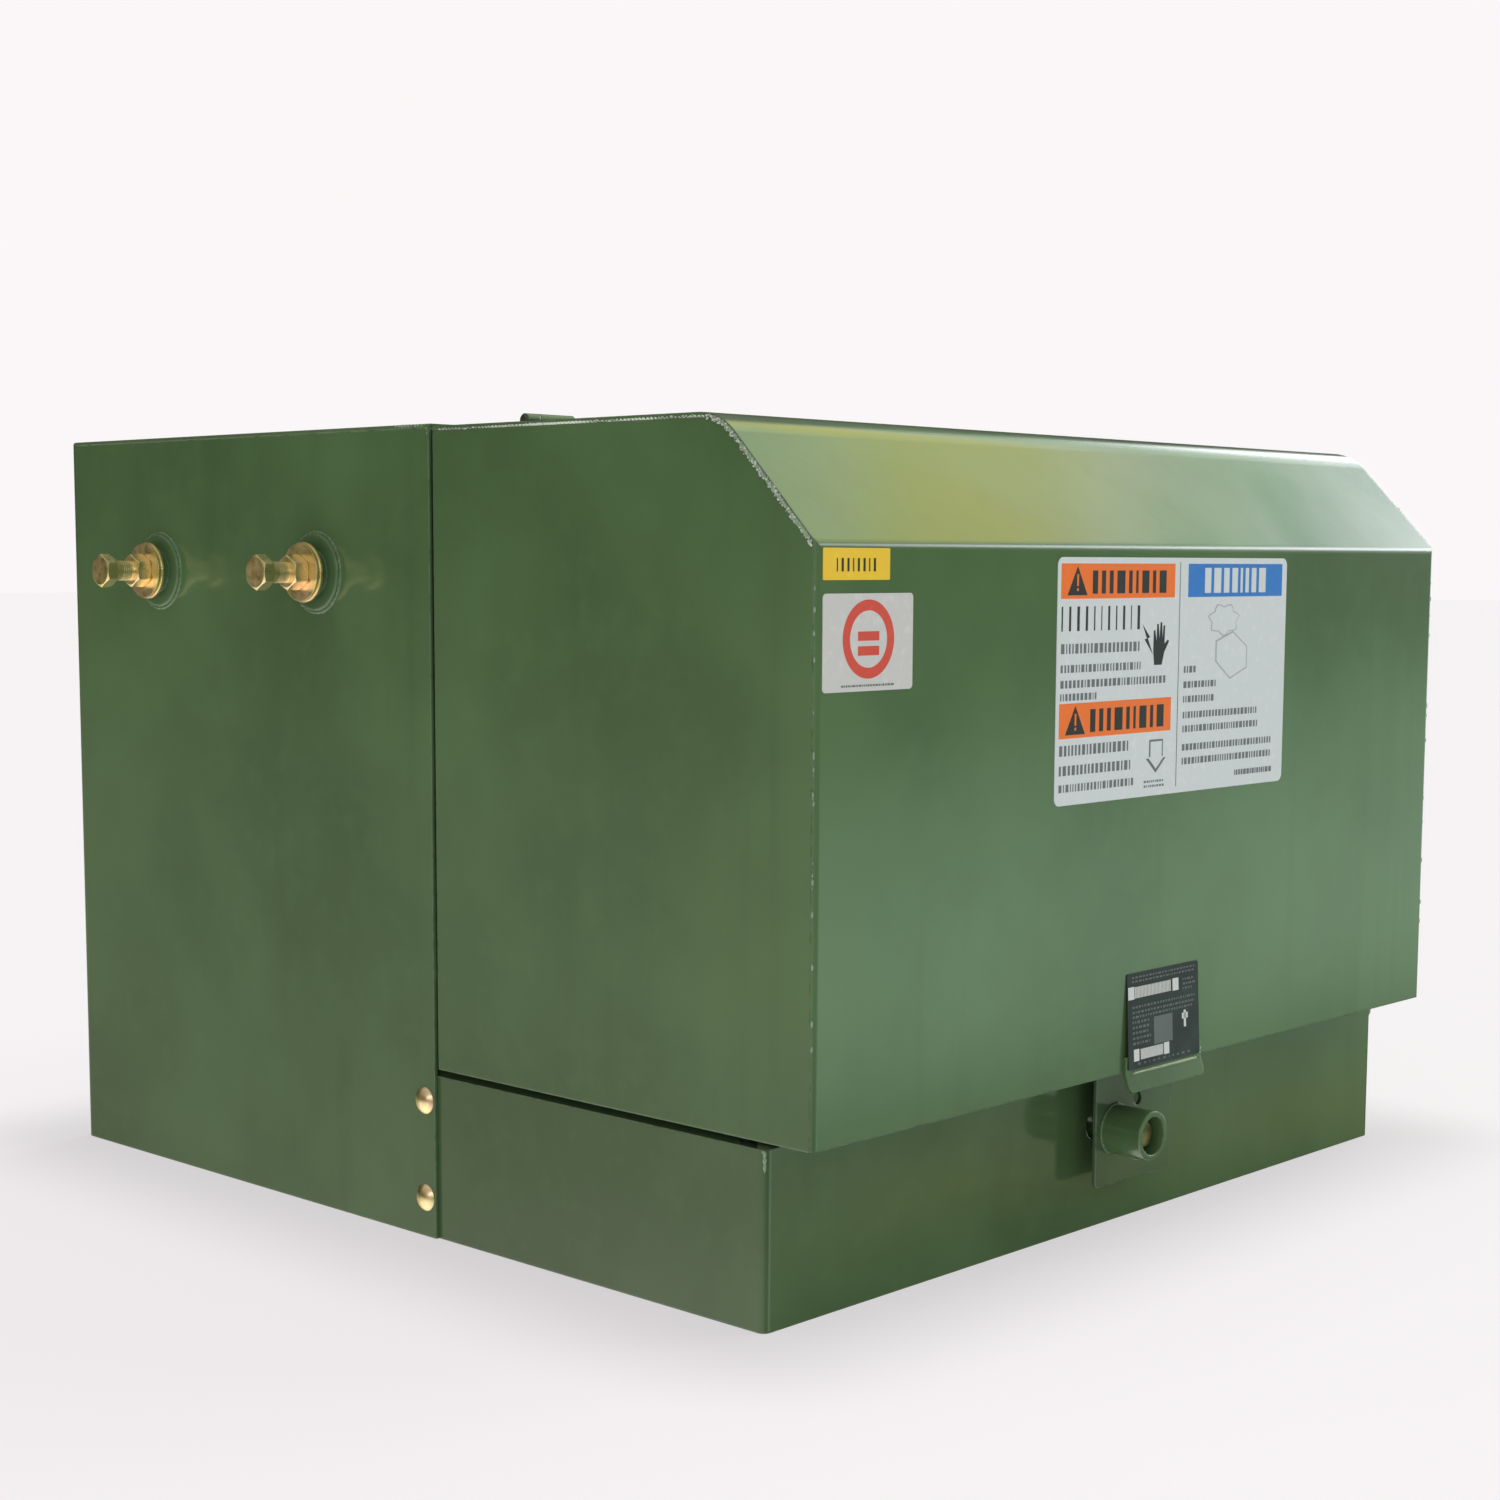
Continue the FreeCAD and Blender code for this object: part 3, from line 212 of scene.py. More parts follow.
def skin_mesh(name, rings, closed, body, finish):
    """A mesh from rings of points, ring u by point v; its ends close on a middle point, or rings join up."""
    count, sides = rings.shape[:2]
    points = rings.reshape(-1, 3)
    u, v = np.meshgrid(np.arange(count if closed else count - 1), np.arange(sides), indexing="ij")
    after, beside = (u + 1) % count, (v + 1) % sides
    corners = [u * sides + v, u * sides + beside, after * sides + beside, after * sides + v]
    faces = np.stack(corners, axis=-1).reshape(-1, 4).tolist()
    if not closed:
        first, last = np.full(sides, len(points)), np.full(sides, len(points) + 1)
        points = np.vstack([points, rings[[0, -1]].mean(axis=1)])
        v = np.arange(sides)
        beside, end = (v + 1) % sides, (count - 1) * sides
        faces += np.stack([first, beside, v], axis=1).tolist()
        faces += np.stack([last, end + v, end + beside], axis=1).tolist()
    return solid(name, points, faces, body, finish, smooth=True)


def round_line(line, spread, sides, up, closed=False):
    """Rings about a line: line(u) + spread(u, v) * (cos v * side(u) + sin v * rise(u)), square to it."""
    ahead = np.roll(line, -1, 0) - np.roll(line, 1, 0) if closed else np.gradient(line, axis=0)
    ahead /= np.linalg.norm(ahead, axis=1, keepdims=True)
    side = np.cross(ahead, np.asarray(up, float))
    side /= np.linalg.norm(side, axis=1, keepdims=True)
    rise = np.cross(side, ahead)
    v = rounds(sides)
    out = np.cos(v)[None, :, None] * side[:, None] + np.sin(v)[None, :, None] * rise[:, None]
    return line[:, None] + spread[..., None] * out


def bead(name, corners, radius, body, up=(0, 0, 1), seed=1, finish=None):
    """A weld bead: radius * (1 + ripples at every dab + slow wander), drawn down to a point at both ends."""
    dab, sides, knots = 0.0011, 9, 14
    line = ramp_line(corners, dab)
    u = np.arange(len(line))[:, None] * 1.0
    v = rounds(sides)[None]
    rng = np.random.default_rng(seed)
    drift = np.interp(u[:, 0], np.linspace(0, u[-1, 0], knots), rng.uniform(-0.22, 0.22, knots))[:, None]
    spread = radius * (1 + drift + 0.20 * np.sin(u * 1.9 + np.cos(v)) + 0.07 * np.sin(u * 4.7 + 2 * v))
    fade = np.clip(np.minimum(u, u[-1] - u) / 3.0, 0.08, 1)
    return skin_mesh(name, round_line(line, spread * fade, sides, up), False, body, finish or weld_highlight_green)


def ring_bead(name, centre, ring, radius, body, seed=1):
    """A bead round a boss on a side wall: a circle of radius ring, its thickness rippled at every dab."""
    steps, sides = 110, 9
    turn = rounds(steps)
    line = np.asarray(centre, float) + ring * np.stack([0 * turn, np.cos(turn), np.sin(turn)], axis=1)
    rng = np.random.default_rng(seed)
    lumps = rng.uniform(-0.2, 0.2, steps)
    lumps = (lumps + np.roll(lumps, 1) + np.roll(lumps, 2)) / 2
    spread = radius * (1 + lumps[:, None] + 0.18 * np.sin(38 * turn[:, None] + np.cos(rounds(sides)[None])))
    return skin_mesh(name, round_line(line, spread, sides, (1, 0, 0), True), True, body, tank_green)


def drops(name, middles, sizes, body, finish, flat=(1, 1, 1)):
    """Small drops of metal: each middle + size * a ball of 5 rings by 8 points, squeezed by flat."""
    levels, sides = 5, 8
    tips = levels * sides
    rise = np.linspace(-0.5, 0.5, levels + 2)[1:-1, None] * np.pi
    v, w = rounds(sides), np.arange(sides)
    ball = np.stack([np.cos(rise) * np.cos(v), np.cos(rise) * np.sin(v), np.sin(rise) + 0 * v], axis=-1)
    shape = np.vstack([ball.reshape(-1, 3), [[0, 0, -1], [0, 0, 1]]]) * np.asarray(flat)
    points = np.asarray(middles)[:, None] + np.asarray(sizes)[:, None, None] * shape
    below = np.arange(levels - 1)[:, None] * sides
    beside = (w + 1) % sides
    quads = np.stack([below + w, below + beside, below + sides + beside, below + sides + w], axis=-1)
    low = np.stack([np.full(sides, tips), beside, w], axis=1)
    high = np.stack([np.full(sides, tips + 1), tips - sides + w, tips - sides + beside], axis=1)
    start = (np.arange(len(points)) * (tips + 2))[:, None, None]
    faces = (quads.reshape(-1, 4)[None] + start).reshape(-1, 4).tolist()
    faces += (np.vstack([low, high])[None] + start).reshape(-1, 3).tolist()
    return solid(name, points, faces, body, finish, smooth=True)


# Seam beads and corner flecks get a paler green than the tank: a painted highlight for light on their crests.
weld_highlight_green = enamel("weld_enamel", light(150, 176, 146), peel=0.6, dust=0.2, gloss=0.20, edge_highlight_and_wear=0.9)
tank_low, tank_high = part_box("tank_shell")
front, top = tank_low.y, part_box("tank_cover")[1].z
boss_edge, boss_height = 0.0308, 0.501
for name, x, inward in (("left", tank_low.x, 1), ("right", tank_high.x, -1)):
    seam = x + inward * 0.0014
    corner = [(seam, front + 0.0015, top - 0.012), (seam, front + 0.0025, top - 0.0016),
              (seam, front + 0.042, top - 0.0014)]
    bead("weld_tank_corner_" + name, corner, 0.0013, "tank", up=(1, 0, 0), seed=4)
    for k, y in enumerate((front + 0.137, front + 0.351)):
        foot = (x + inward * 0.0003, y, boss_height)
        ring_bead(f"weld_boss_{name}_{k}", foot, boss_edge, 0.0016, "tank", seed=7 + k)


# ---- Sill -------------------------------------------------------------------
# The sill is the folded steel skirt below the hood that joins the tank to the
# pad and guards the cable opening. It is bolted to the tank sides, painted with
# the same enamel, and splashed with soil thrown up by rain.

# The sill's green is a little darker than the tank's: painted shade from the hood overhanging it.
sill_shaded_green = enamel("sill_enamel", light(81, 109, 71), dust=0.15, mud=0.05, gloss=0.13)
dress(sill_shaded_green, "sill")
sill_low, sill_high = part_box("sill")
for name, x, inward in (("left", sill_low.x, 1), ("right", sill_high.x, -1)):
    y, z = sill_low.y, sill_high.z
    seam = x + inward * 0.0014
    corner = [(seam, y + 0.0014, z - 0.016), (seam, y + 0.0014, z - 0.0015),
              (x + inward * 0.004, y + 0.010, z - 0.0012)]
    bead("weld_sill_" + name, corner, 0.0013, "tank", up=(1, 0, 0), seed=11)


# ---- Hood -------------------------------------------------------------------
# The hood is one bent sheet with a flat plate welded inside each end, hinged at
# the back of its top. The welds follow the folded outline; grinding leaves
# flecks down the upright corners, and all is sprayed with the same green.

hood_green = enamel("hood_enamel", green)
dress(hood_green, "hood_wrap", "hood_side_left", "hood_side_right", "hood_stiffener")
wrap_low, wrap_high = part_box("hood_wrap")
face_y, rear_y, roof = wrap_low.y, wrap_high.y, wrap_high.z


def end_outline(inset, low):
    """The hood's end outline moved in, as (y, z): top, arc of the roof bend, slope, front arc, front."""
    roof_radius, front_radius = 0.045 - inset, 0.009 - inset
    slope_angle = np.arctan2(0.085, 0.084)
    roof_turn = np.linspace(0, slope_angle, 14)
    front_turn = np.linspace(slope_angle, np.pi / 2, 7)
    y = np.concatenate([[rear_y - 0.004], -0.3264 - roof_radius * np.sin(roof_turn),
                        -0.4200 - front_radius * np.sin(front_turn), [face_y + inset]])
    z = np.concatenate([[roof - inset], 0.5630 + roof_radius * np.cos(roof_turn),
                        0.5193 + front_radius * np.cos(front_turn), [low]])
    return y, z


def on_slope(run):
    """The points of a line along the hood's end that lie on its slope."""
    return run[(run[:, 1] < -0.335) & (run[:, 1] > -0.4262)]


def on_top(run):
    """The points of a line along the hood's end that lie on its top."""
    return run[run[:, 1] >= -0.345]


# Weld tops, ridge drops and slope spatter get a near-white enamel: painted glints of light on the weld metal.
weld_glint = enamel("weld_sparkle", light(238, 246, 234), peel=0.5, dust=0.0, gloss=0.14, edge_highlight_and_wear=0.2)
for name, sign in (("left", -1), ("right", 1)):
    rng = np.random.default_rng(31)
    y, z = end_outline(0.0024, 0.500)
    run = ramp_line(np.stack([np.full(len(y), sign * 0.4012), y, z], axis=1), 0.004)
    bead("weld_hood_slant_" + name, on_slope(run), 0.0017, "hood", up=(1, 0, 0), seed=21)
    bead("weld_hood_top_" + name, on_top(run), 0.0009, "hood", up=(1, 0, 0), seed=22, finish=weld_glint)
    fine = ramp_line(run, 0.0006)

    count, slope = 230, on_slope(fine)
    picked = slope[rng.integers(0, len(slope), count)] + [sign * 0.0016, 0, 0]
    picked = picked + rng.uniform(-0.0016, 0.0016, (count, 3)) * [0.3, 1, 1]
    drops("weld_hood_spatter_" + name, picked, rng.uniform(0.0003, 0.0009, count), "hood", weld_glint)

    count, ridge = 80, on_top(fine)
    picked = ridge[(len(ridge) * rng.uniform(0, 1, count) ** 0.7).astype(int)] + [sign * 0.0004, 0, 0]
    picked = picked + rng.uniform(-0.0008, 0.0008, (count, 3))
    sizes = rng.uniform(0.0003, 0.0008, count)
    drops("weld_hood_ridge_" + name, picked, sizes, "hood", weld_glint, (1, 2.2, 0.8))

    count = 22
    heights = 0.516 - 0.360 * rng.uniform(0, 1, count) ** 1.7
    spots = np.stack([np.full(count, sign * 0.4010), np.full(count, face_y + 0.0018), heights], axis=1)
    spots = spots + rng.uniform(-0.0004, 0.0004, (count, 3))
    sizes = rng.uniform(0.0005, 0.0010, count)
    drops("weld_hood_flecks_" + name, spots, sizes, "hood", weld_highlight_green, (1, 0.8, 2.4))


# ---- Hinges -----------------------------------------------------------------
# Each hinge is a pair of steel leaves rolled round a pin, one leaf welded on the
# cover and one on the hood. They are painted over in place; the pins are
# stainless and stay bright at their ends.

dress(tank_green, "hinge_tank_leaves")
dress(hood_green, "hinge_hood_leaves")


def bare_metal(name, colour, rough=0.32, grain=60, tint=None, depth=0.06):
    """Bare or plated metal: cloudy tint and roughness, and fine tool marks as darker patches."""
    made, tree, where, shader = finish_of(name, Metallic=1.0)
    clouds = part_of(tree, cloudy(tree, where, grain, 4), 0.35, 0.65)
    tone = over(tree, clouds, colour, tint or deeper(colour, 0.72))
    marks = part_of(tree, cloudy(tree, where, 300, 3), 0.5, 0.8, 0, 0.4)
    tone = over(tree, marks, tone, deeper(colour, 0.55))
    skin = grained(tree, cloudy(tree, where, 500, 3), depth, 0.0004, eased(tree, 0.0005, 3))
    feed(tree, shader, tone, patchy(tree, where, grain * 1.7, 4, rough - 0.08, rough + 0.12), skin)
    return made


stainless = bare_metal("stainless_steel", light(178, 178, 174), 0.30)
dress(stainless, "hinge_pins")
leaf_y, half_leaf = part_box("hinge_tank_leaves")[1].y + 0.0006, 0.020
for k, name in ((-1, "left"), (1, "right")):
    x, z = 0.286 * k, top + 0.0004
    seam = [(x - half_leaf, leaf_y, z), (x + half_leaf, leaf_y, z)]
    bead("weld_hinge_" + name, seam, 0.0016, "tank", seed=40 + k)


# ---- Lifting points ---------------------------------------------------------
# Four welded steel bosses carry long 5/8 inch bolts with washers and a nut, left
# proud so that slings can be hooked on. The bosses are painted; the bolts,
# washers and nuts are zinc plated with a yellow, faintly rainbow passivate.

def yellow_zinc(name, rough=0.30):
    """Yellow zinc plate: gold shifting to pink and green in small clouds, with fine tool marks."""
    made, tree, where, shader = finish_of(name, Metallic=1.0)
    shift = add(tree, "ValToRGB", {0: cloudy(tree, where, 55, 3, 0.6)})
    stops = shift.color_ramp.elements
    stops[0].position, stops[0].color = 0.30, light(246, 224, 160)
    stops[1].position, stops[1].color = 0.72, light(250, 208, 186)
    stops.new(0.5).color = light(250, 228, 176)
    clouds = part_of(tree, cloudy(tree, where, 31, 2), 0.55, 0.72, 0, 0.55)
    tone = over(tree, clouds, shift.outputs[0], light(222, 222, 160))
    worn = part_of(tree, cloudy(tree, where, 190, 5), 0.58, 0.75, 0, 0.6)
    tone = over(tree, worn, tone, light(190, 166, 128))
    skin = grained(tree, cloudy(tree, where, 700, 3), 0.12, 0.0003, eased(tree, 0.0007, 4))
    feed(tree, shader, tone, patchy(tree, where, 120, 4, rough - 0.06, rough + 0.14), skin)
    return made


zinc = yellow_zinc("yellow_zinc")
dress(tank_green, "lifting_bosses")
dress(zinc, "lifting_bolts", "lifting_nuts", "lifting_washers")


def screw_thread(name, start, way, length, core, pitch, body, finish, sides=24):
    """A thread sleeve: radius = core + depth * triangle wave of (distance / pitch - turn)."""
    u = np.linspace(0, length, int(length / pitch * 8))[:, None]
    wave = np.abs(((u / pitch - np.arange(sides)[None] / sides) % 1) * 2 - 1)
    spread = core + 0.55 * pitch * (wave - 0.75)
    spread[[0, -1]] = core * 0.92
    line = np.asarray(start, float) + u * np.asarray(way, float)
    return skin_mesh(name, round_line(line, spread, sides, (0, 0, 1)), False, body, finish)


thread_start, thread_length, thread_core, thread_pitch = 0.4300, 0.0125, 0.0080, 0.00195
for name, sign in (("left", -1), ("right", 1)):
    for k, y in enumerate((0.088, 0.302)):
        screw_thread(f"lifting_thread_{name}_{k}", (sign * thread_start, y, boss_height), (sign, 0, 0),
                     thread_length, thread_core, thread_pitch, "tank", zinc)


# ---- Sill fasteners ---------------------------------------------------------
# Round-headed carriage bolts pass out through the sill and tank flanges and are
# held inside by flanged nuts, so that nothing can be undone from outside. Both
# are zinc plated.

dress(zinc, "sill_carriage_bolts", "sill_flange_nuts")


# ---- Rubber rests -----------------------------------------------------------
# Small black rubber buttons are pushed into the sill flange where the hood
# comes down, to stop it ringing and to keep the paint from chafing.

def rubber(name, shade=28, rough=0.55):
    """Black moulded rubber: faint grey bloom in patches, fine mould grain, rubbed smoother here and there."""
    made, tree, where, shader = finish_of(name, Specular_IOR_Level=0.35)
    bloom = part_of(tree, cloudy(tree, where, 28, 5), 0.4, 0.75, 0, 0.5)
    tone = over(tree, bloom, light(shade, shade, shade), light(shade + 26, shade + 26, shade + 24))
    skin = grained(tree, cloudy(tree, where, 800, 3), 0.2, 0.0003, eased(tree, 0.0006, 3))
    feed(tree, shader, tone, patchy(tree, where, 60, 4, rough - 0.1, rough + 0.12), skin)
    return made


dress(rubber("rest_rubber"), "hood_bumpers")


# ---- Pull lip ---------------------------------------------------------------
# A short strip bent outwards is plug welded over the bottom edge of the hood
# front, as a grip to raise it. Its weld is drawn in a pale green, a painted
# highlight for light along the bead.

dress(hood_green, "pull_lip")
lip_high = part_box("pull_lip")[1]
edge_y, edge_z = face_y - 0.0032, wrap_low.z - 0.001
# The lip welds are painted pale green: a painted highlight along the bead.
lip_weld_highlight = enamel("lip_weld_enamel", light(170, 188, 150), peel=0.6, dust=0.1, gloss=0.22, edge_highlight_and_wear=1.0)
seam = [(-0.046, edge_y, edge_z), (0.0435, edge_y, edge_z)]
bead("weld_lip", seam, 0.0012, "hood", seed=51, finish=lip_weld_highlight)
x, y = lip_high.x - 0.001, face_y - 0.0020
seam = [(x, y, lip_high.z - 0.002), (x, y, edge_z)]
bead("weld_lip_end", seam, 0.0013, "hood", up=(1, 0, 0), seed=52, finish=lip_weld_highlight)


# ---- Rating plate -----------------------------------------------------------
# The rating plate is thin anodised aluminium, etched black with the bare metal
# left for rules and figures. Only plain grey ticks and bars stand for its
# matter; it is fixed at its top edge and leans out over the lip.

def ink(name, colour, rough=0.4, speck=0.0):
    """Printed or etched colour: slightly patchy cover, matt, with a trace of the ground showing through."""
    made, tree, where, shader = finish_of(name, Specular_IOR_Level=0.4, Metallic=speck)
    thin = part_of(tree, cloudy(tree, where, 160, 4), 0.5, 0.8, 0, 0.25)
    tone = over(tree, thin, colour, paler(colour, 1.5, 0.02))
    skin = grained(tree, cloudy(tree, where, 1500, 2), 0.05, 0.0002)
    feed(tree, shader, tone, patchy(tree, where, 40, 3, rough - 0.06, rough + 0.08), skin)
    return made


def printed(name, spans, plane, finish):
    """Thin blocks of print: spans (x0, x1, z0, z1) on the plane y = start + slope * (z - from z)."""
    proud = 0.00012
    spans = np.asarray(spans, float)
    start, slope, from_z = plane
    x, z = spans[:, [0, 1, 1, 0]], spans[:, [2, 2, 3, 3]]
    y = start + slope * (z - from_z)
    points = np.concatenate([np.stack([x, y + side, z], axis=-1) for side in (-proud, proud)], axis=1)
    block = np.array([[0, 1, 2, 3], [4, 7, 6, 5], [0, 4, 5, 1], [1, 5, 6, 2], [2, 6, 7, 3], [3, 7, 4, 0]])
    faces = (block[None] + (np.arange(len(spans)) * 8)[:, None, None]).reshape(-1, 4).tolist()
    return solid(name, points, faces, "hood", finish)


def tick_rows(x0, x1, rows, high, seed, longest, gap):
    """Rows of plain ticks from x0 to x1: random widths, each start a running sum of those before."""
    rng = np.random.default_rng(seed)
    spans = []
    for z in rows:
        wide = rng.uniform(longest * 0.25, longest, 60)
        begin = x0 + np.concatenate([[0], np.cumsum(wide + gap)[:-1]])
        keep = begin + wide < x1
        begin, wide = begin[keep], wide[keep]
        low = np.full(len(wide), z)
        spans.append(np.stack([begin, begin + wide, low, low + high], axis=1))
    return np.vstack(spans)


def bar_band(x, z0, z1, run, wide):
    """A band of 26 upright bars from x on, evenly spaced over the run: x + run * k / 26."""
    count = 26
    begin = x + np.arange(count) / count * run
    return np.stack([begin, begin + wide, np.full(count, z0), np.full(count, z1)], axis=1)


plate_low, plate_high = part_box("rating_plate")
lean = (face_y - 0.0008 - plate_low.y) / (plate_high.z - plate_low.z)
plate_plane = (plate_low.y, lean, plate_low.z)
plate_black = ink("etched_black", light(50, 56, 60), 0.33, 0.25)
dress(plate_black, "rating_plate")
etched_grey = ink("etched_grey", light(112, 118, 120), 0.4, 0.3)
bar_white = ink("bar_white", light(222, 226, 224), 0.5)
px, pz = plate_low.x, plate_low.z
plate_rows = (
    (0.006, 0.092, (0.0655, 0.0685), 0.0014, 62, 0.0016),
    (0.006, 0.090, (0.0385, 0.0420, 0.0460), 0.0016, 63, 0.0016),
    (0.006, 0.031, (0.0185, 0.0225, 0.0265, 0.0305, 0.0345), 0.0018, 64, 0.0016),
    (0.074, 0.091, (0.0525, 0.0560, 0.0595), 0.0016, 65, 0.0016),
    (0.012, 0.088, (0.0030,), 0.0014, 66, 0.004))
ticks = [tick_rows(px + x0, px + x1, pz + np.array(rows), high, seed, 0.004, gap)
         for x0, x1, rows, high, seed, gap in plate_rows]
printed("plate_ticks", np.vstack(ticks), plate_plane, etched_grey)
printed("plate_panel", [(px + 0.034, px + 0.059, pz + 0.0155, pz + 0.0365)], plate_plane, etched_grey)
bands = [bar_band(px + 0.010, pz + 0.0535, pz + 0.0620, 0.048, 0.0012),
         bar_band(px + 0.016, pz + 0.0065, pz + 0.0145, 0.030, 0.0008)]
blocks = np.array([
    (0.001, 0.009, 0.0530, 0.0625), (0.060, 0.068, 0.0530, 0.0625), (0.007, 0.014, 0.0060, 0.0150),
    (0.047, 0.054, 0.0060, 0.0150), (0.072, 0.080, 0.0300, 0.0345), (0.0745, 0.0775, 0.0235, 0.0365)])
printed("plate_bars", np.vstack([*bands, blocks + [px, px, pz, pz]]), plate_plane, bar_white)


# ---- Safety label -----------------------------------------------------------
# The large label is printed vinyl stuck on the hood front: two columns under
# coloured heads, ruled apart. Its words are left out, and plain grey ticks,
# a warning triangle and simple shapes stand for its matter.

label_low, label_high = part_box("warning_label")
vinyl = ink("white_vinyl", light(222, 230, 232), 0.36)
dress(vinyl, "warning_label")
sheet_y = label_low.y
upper_y = sheet_y - 0.00015
sheet, upper = (sheet_y, 0, 0), (upper_y, 0, 0)
x0, x1, z0, z1 = label_low.x, label_high.x, label_low.z, label_high.z
orange = ink("orange_print", light(255, 124, 44), 0.36)
blue = ink("blue_print", light(44, 128, 212), 0.36)
dark_ink = ink("black_print", light(38, 44, 46), 0.38)
grey_ink = ink("grey_print", light(112, 118, 122), 0.4)
middle = x0 + 0.1545
heads = [(x0 + 0.004, middle - 0.007, z1 - 0.0295, z1 - 0.0045),
         (x0 + 0.004, middle - 0.009, z0 + 0.0480, z0 + 0.0730)]
printed("label_heads", heads, sheet, orange)
printed("label_notice_head", [(x0 + 0.1655, x1 - 0.007, z1 - 0.0295, z1 - 0.0045)], sheet, blue)
printed("label_rule", [(middle - 0.0004, middle + 0.0004, z0 + 0.005, z1 - 0.003)], sheet, grey_ink)


def drawn(name, outline, plane_y, finish):
    """A flat shape of print on the hood from its outline of (x, z) points: a front, a back and a rim."""
    proud = 0.00012
    outline = np.asarray(outline, float)
    count = len(outline)
    outer = np.stack([outline[:, 0], np.full(count, plane_y - proud), outline[:, 1]], axis=1)
    k = np.arange(count)
    beside = (k + 1) % count
    rim = np.stack([k, beside, beside + count, k + count], axis=1)
    area = np.sum(outline[:, 0] * outline[beside, 1] - outline[beside, 0] * outline[:, 1])
    faces = [k.tolist(), (k + count)[::-1].tolist()] + rim[:, ::-1].tolist()
    if area < 0:
        faces = [face[::-1] for face in faces]
    return solid(name, np.vstack([outer, outer + [0, 2 * proud, 0]]), faces, "hood", finish)


for k, base in enumerate((z1 - 0.0270, z0 + 0.0505)):
    tx = x0 + 0.0115
    triangle = [(tx, base), (tx + 0.024, base), (tx + 0.012, base + 0.0205)]
    drawn(f"label_triangle_{k}", triangle, upper_y, dark_ink)
    mark = [(tx + 0.0110, tx + 0.0130, base + 0.0065, base + 0.0150),
            (tx + 0.0110, tx + 0.0130, base + 0.0030, base + 0.0050)]
    printed(f"label_triangle_mark_{k}", mark, (sheet_y - 0.0003, 0, 0), orange)
    heads = tick_rows(x0 + 0.042, middle - 0.012, [base + 0.001], 0.0165, 73, 0.010, 0.005)
    printed(f"label_head_bars_{k}", heads, upper, dark_ink)
notice = tick_rows(x0 + 0.188, x1 - 0.026, [z1 - 0.0265], 0.0190, 76, 0.010, 0.004)
printed("label_notice_bars", notice, upper, vinyl)
big_row = tick_rows(x0 + 0.005, x0 + 0.110, [z1 - 0.0525], 0.0175, 71, 0.0036, 0.0075)
printed("label_big_row", big_row, sheet, dark_ink)
left_rows = (
    (0.005, 0.108, [z1 - 0.0685], 0.0070, 72, 0.0045, 0.0022),
    (0.005, 0.106, [z1 - 0.0820], 0.0055, 73, 0.0040, 0.0020),
    (0.005, 0.138, [z1 - 0.0930], 0.0055, 74, 0.0040, 0.0020),
    (0.005, 0.052, [z1 - 0.1020], 0.0050, 75, 0.0034, 0.0018),
    (0.005, 0.092, [z0 + 0.0355], 0.0075, 77, 0.0042, 0.0022),
    (0.005, 0.098, [z0 + 0.0215], 0.0070, 78, 0.0042, 0.0022),
    (0.005, 0.100, [z0 + 0.0095], 0.0055, 79, 0.0036, 0.0020),
    (0.112, 0.140, [z0 + 0.0065, z0 + 0.0100], 0.0016, 80, 0.0030, 0.0012))
right_rows = (
    (0.162, 0.180, [z0 + 0.0905], 0.0050, 81, 0.0040, 0.0018),
    (0.162, 0.208, [z0 + 0.0790, z0 + 0.0680], 0.0050, 82, 0.0040, 0.0018),
    (0.162, 0.268, [z0 + 0.0560, z0 + 0.0455], 0.0050, 83, 0.0040, 0.0018),
    (0.162, 0.288, [z0 + 0.0315, z0 + 0.0210], 0.0050, 84, 0.0040, 0.0018),
    (0.236, 0.292, [z0 + 0.0085], 0.0042, 85, 0.0040, 0.0012))
for name, rows in (("label_left_rows", left_rows), ("label_right_rows", right_rows)):
    ticks = [tick_rows(x0 + begin, x0 + end, *rest) for begin, end, *rest in rows]
    printed(name, np.vstack(ticks), sheet, grey_ink)
palm = np.array([
    (0.114, 0.030), (0.124, 0.030), (0.127, 0.045), (0.133, 0.058), (0.1315, 0.060), (0.127, 0.055),
    (0.1275, 0.077), (0.1255, 0.077), (0.1245, 0.060), (0.1235, 0.081), (0.1215, 0.081), (0.1205, 0.060),
    (0.1190, 0.079), (0.1170, 0.079), (0.1168, 0.058), (0.1145, 0.072), (0.1128, 0.071), (0.1125, 0.048)])
drawn("label_hand", palm * [1, 0.62] + [x0 + 0.008, z0 + 0.0790], sheet_y, dark_ink)
spark = np.array([
    (0.098, 0.050), (0.108, 0.038), (0.105, 0.037), (0.112, 0.022), (0.101, 0.036), (0.104, 0.037)])
drawn("label_spark", spark * [1, 0.8] + [x0 + 0.008, z0 + 0.088], sheet_y, dark_ink)
arrow = np.array([
    (0.118, 0.048), (0.136, 0.048), (0.136, 0.034), (0.140, 0.034), (0.127, 0.023), (0.114, 0.034),
    (0.118, 0.034)])
drawn("label_arrow", arrow + [x0, z0 - 0.006], sheet_y, grey_ink)
inside = (arrow - [0.127, 0.037]) * 0.82 + [x0 + 0.127, z0 + 0.0315]
drawn("label_arrow_inside", inside, upper_y, vinyl)
turn = rounds(28)
leafy = 1 + 0.14 * np.sin(turn * 7)
pale_ink = ink("pale_print", light(176, 184, 188), 0.4)
for name, wide, high, y, finish in (("label_shrub", 0.020, 0.0115, sheet_y, pale_ink),
                                    ("label_shrub_inside", 0.0188, 0.0106, upper_y, vinyl)):
    leaf_x, leaf_z = x0 + 0.216 + wide * leafy * np.cos(turn), z0 + 0.130 + high * leafy * np.sin(turn)
    drawn(name, np.stack([leaf_x, leaf_z], axis=1), y, finish)
cabinet = np.array([
    (0.205, 0.098), (0.226, 0.084), (0.250, 0.092), (0.250, 0.109), (0.229, 0.121), (0.205, 0.114)])
drawn("label_cabinet", cabinet + [x0, z0], sheet_y, pale_ink)
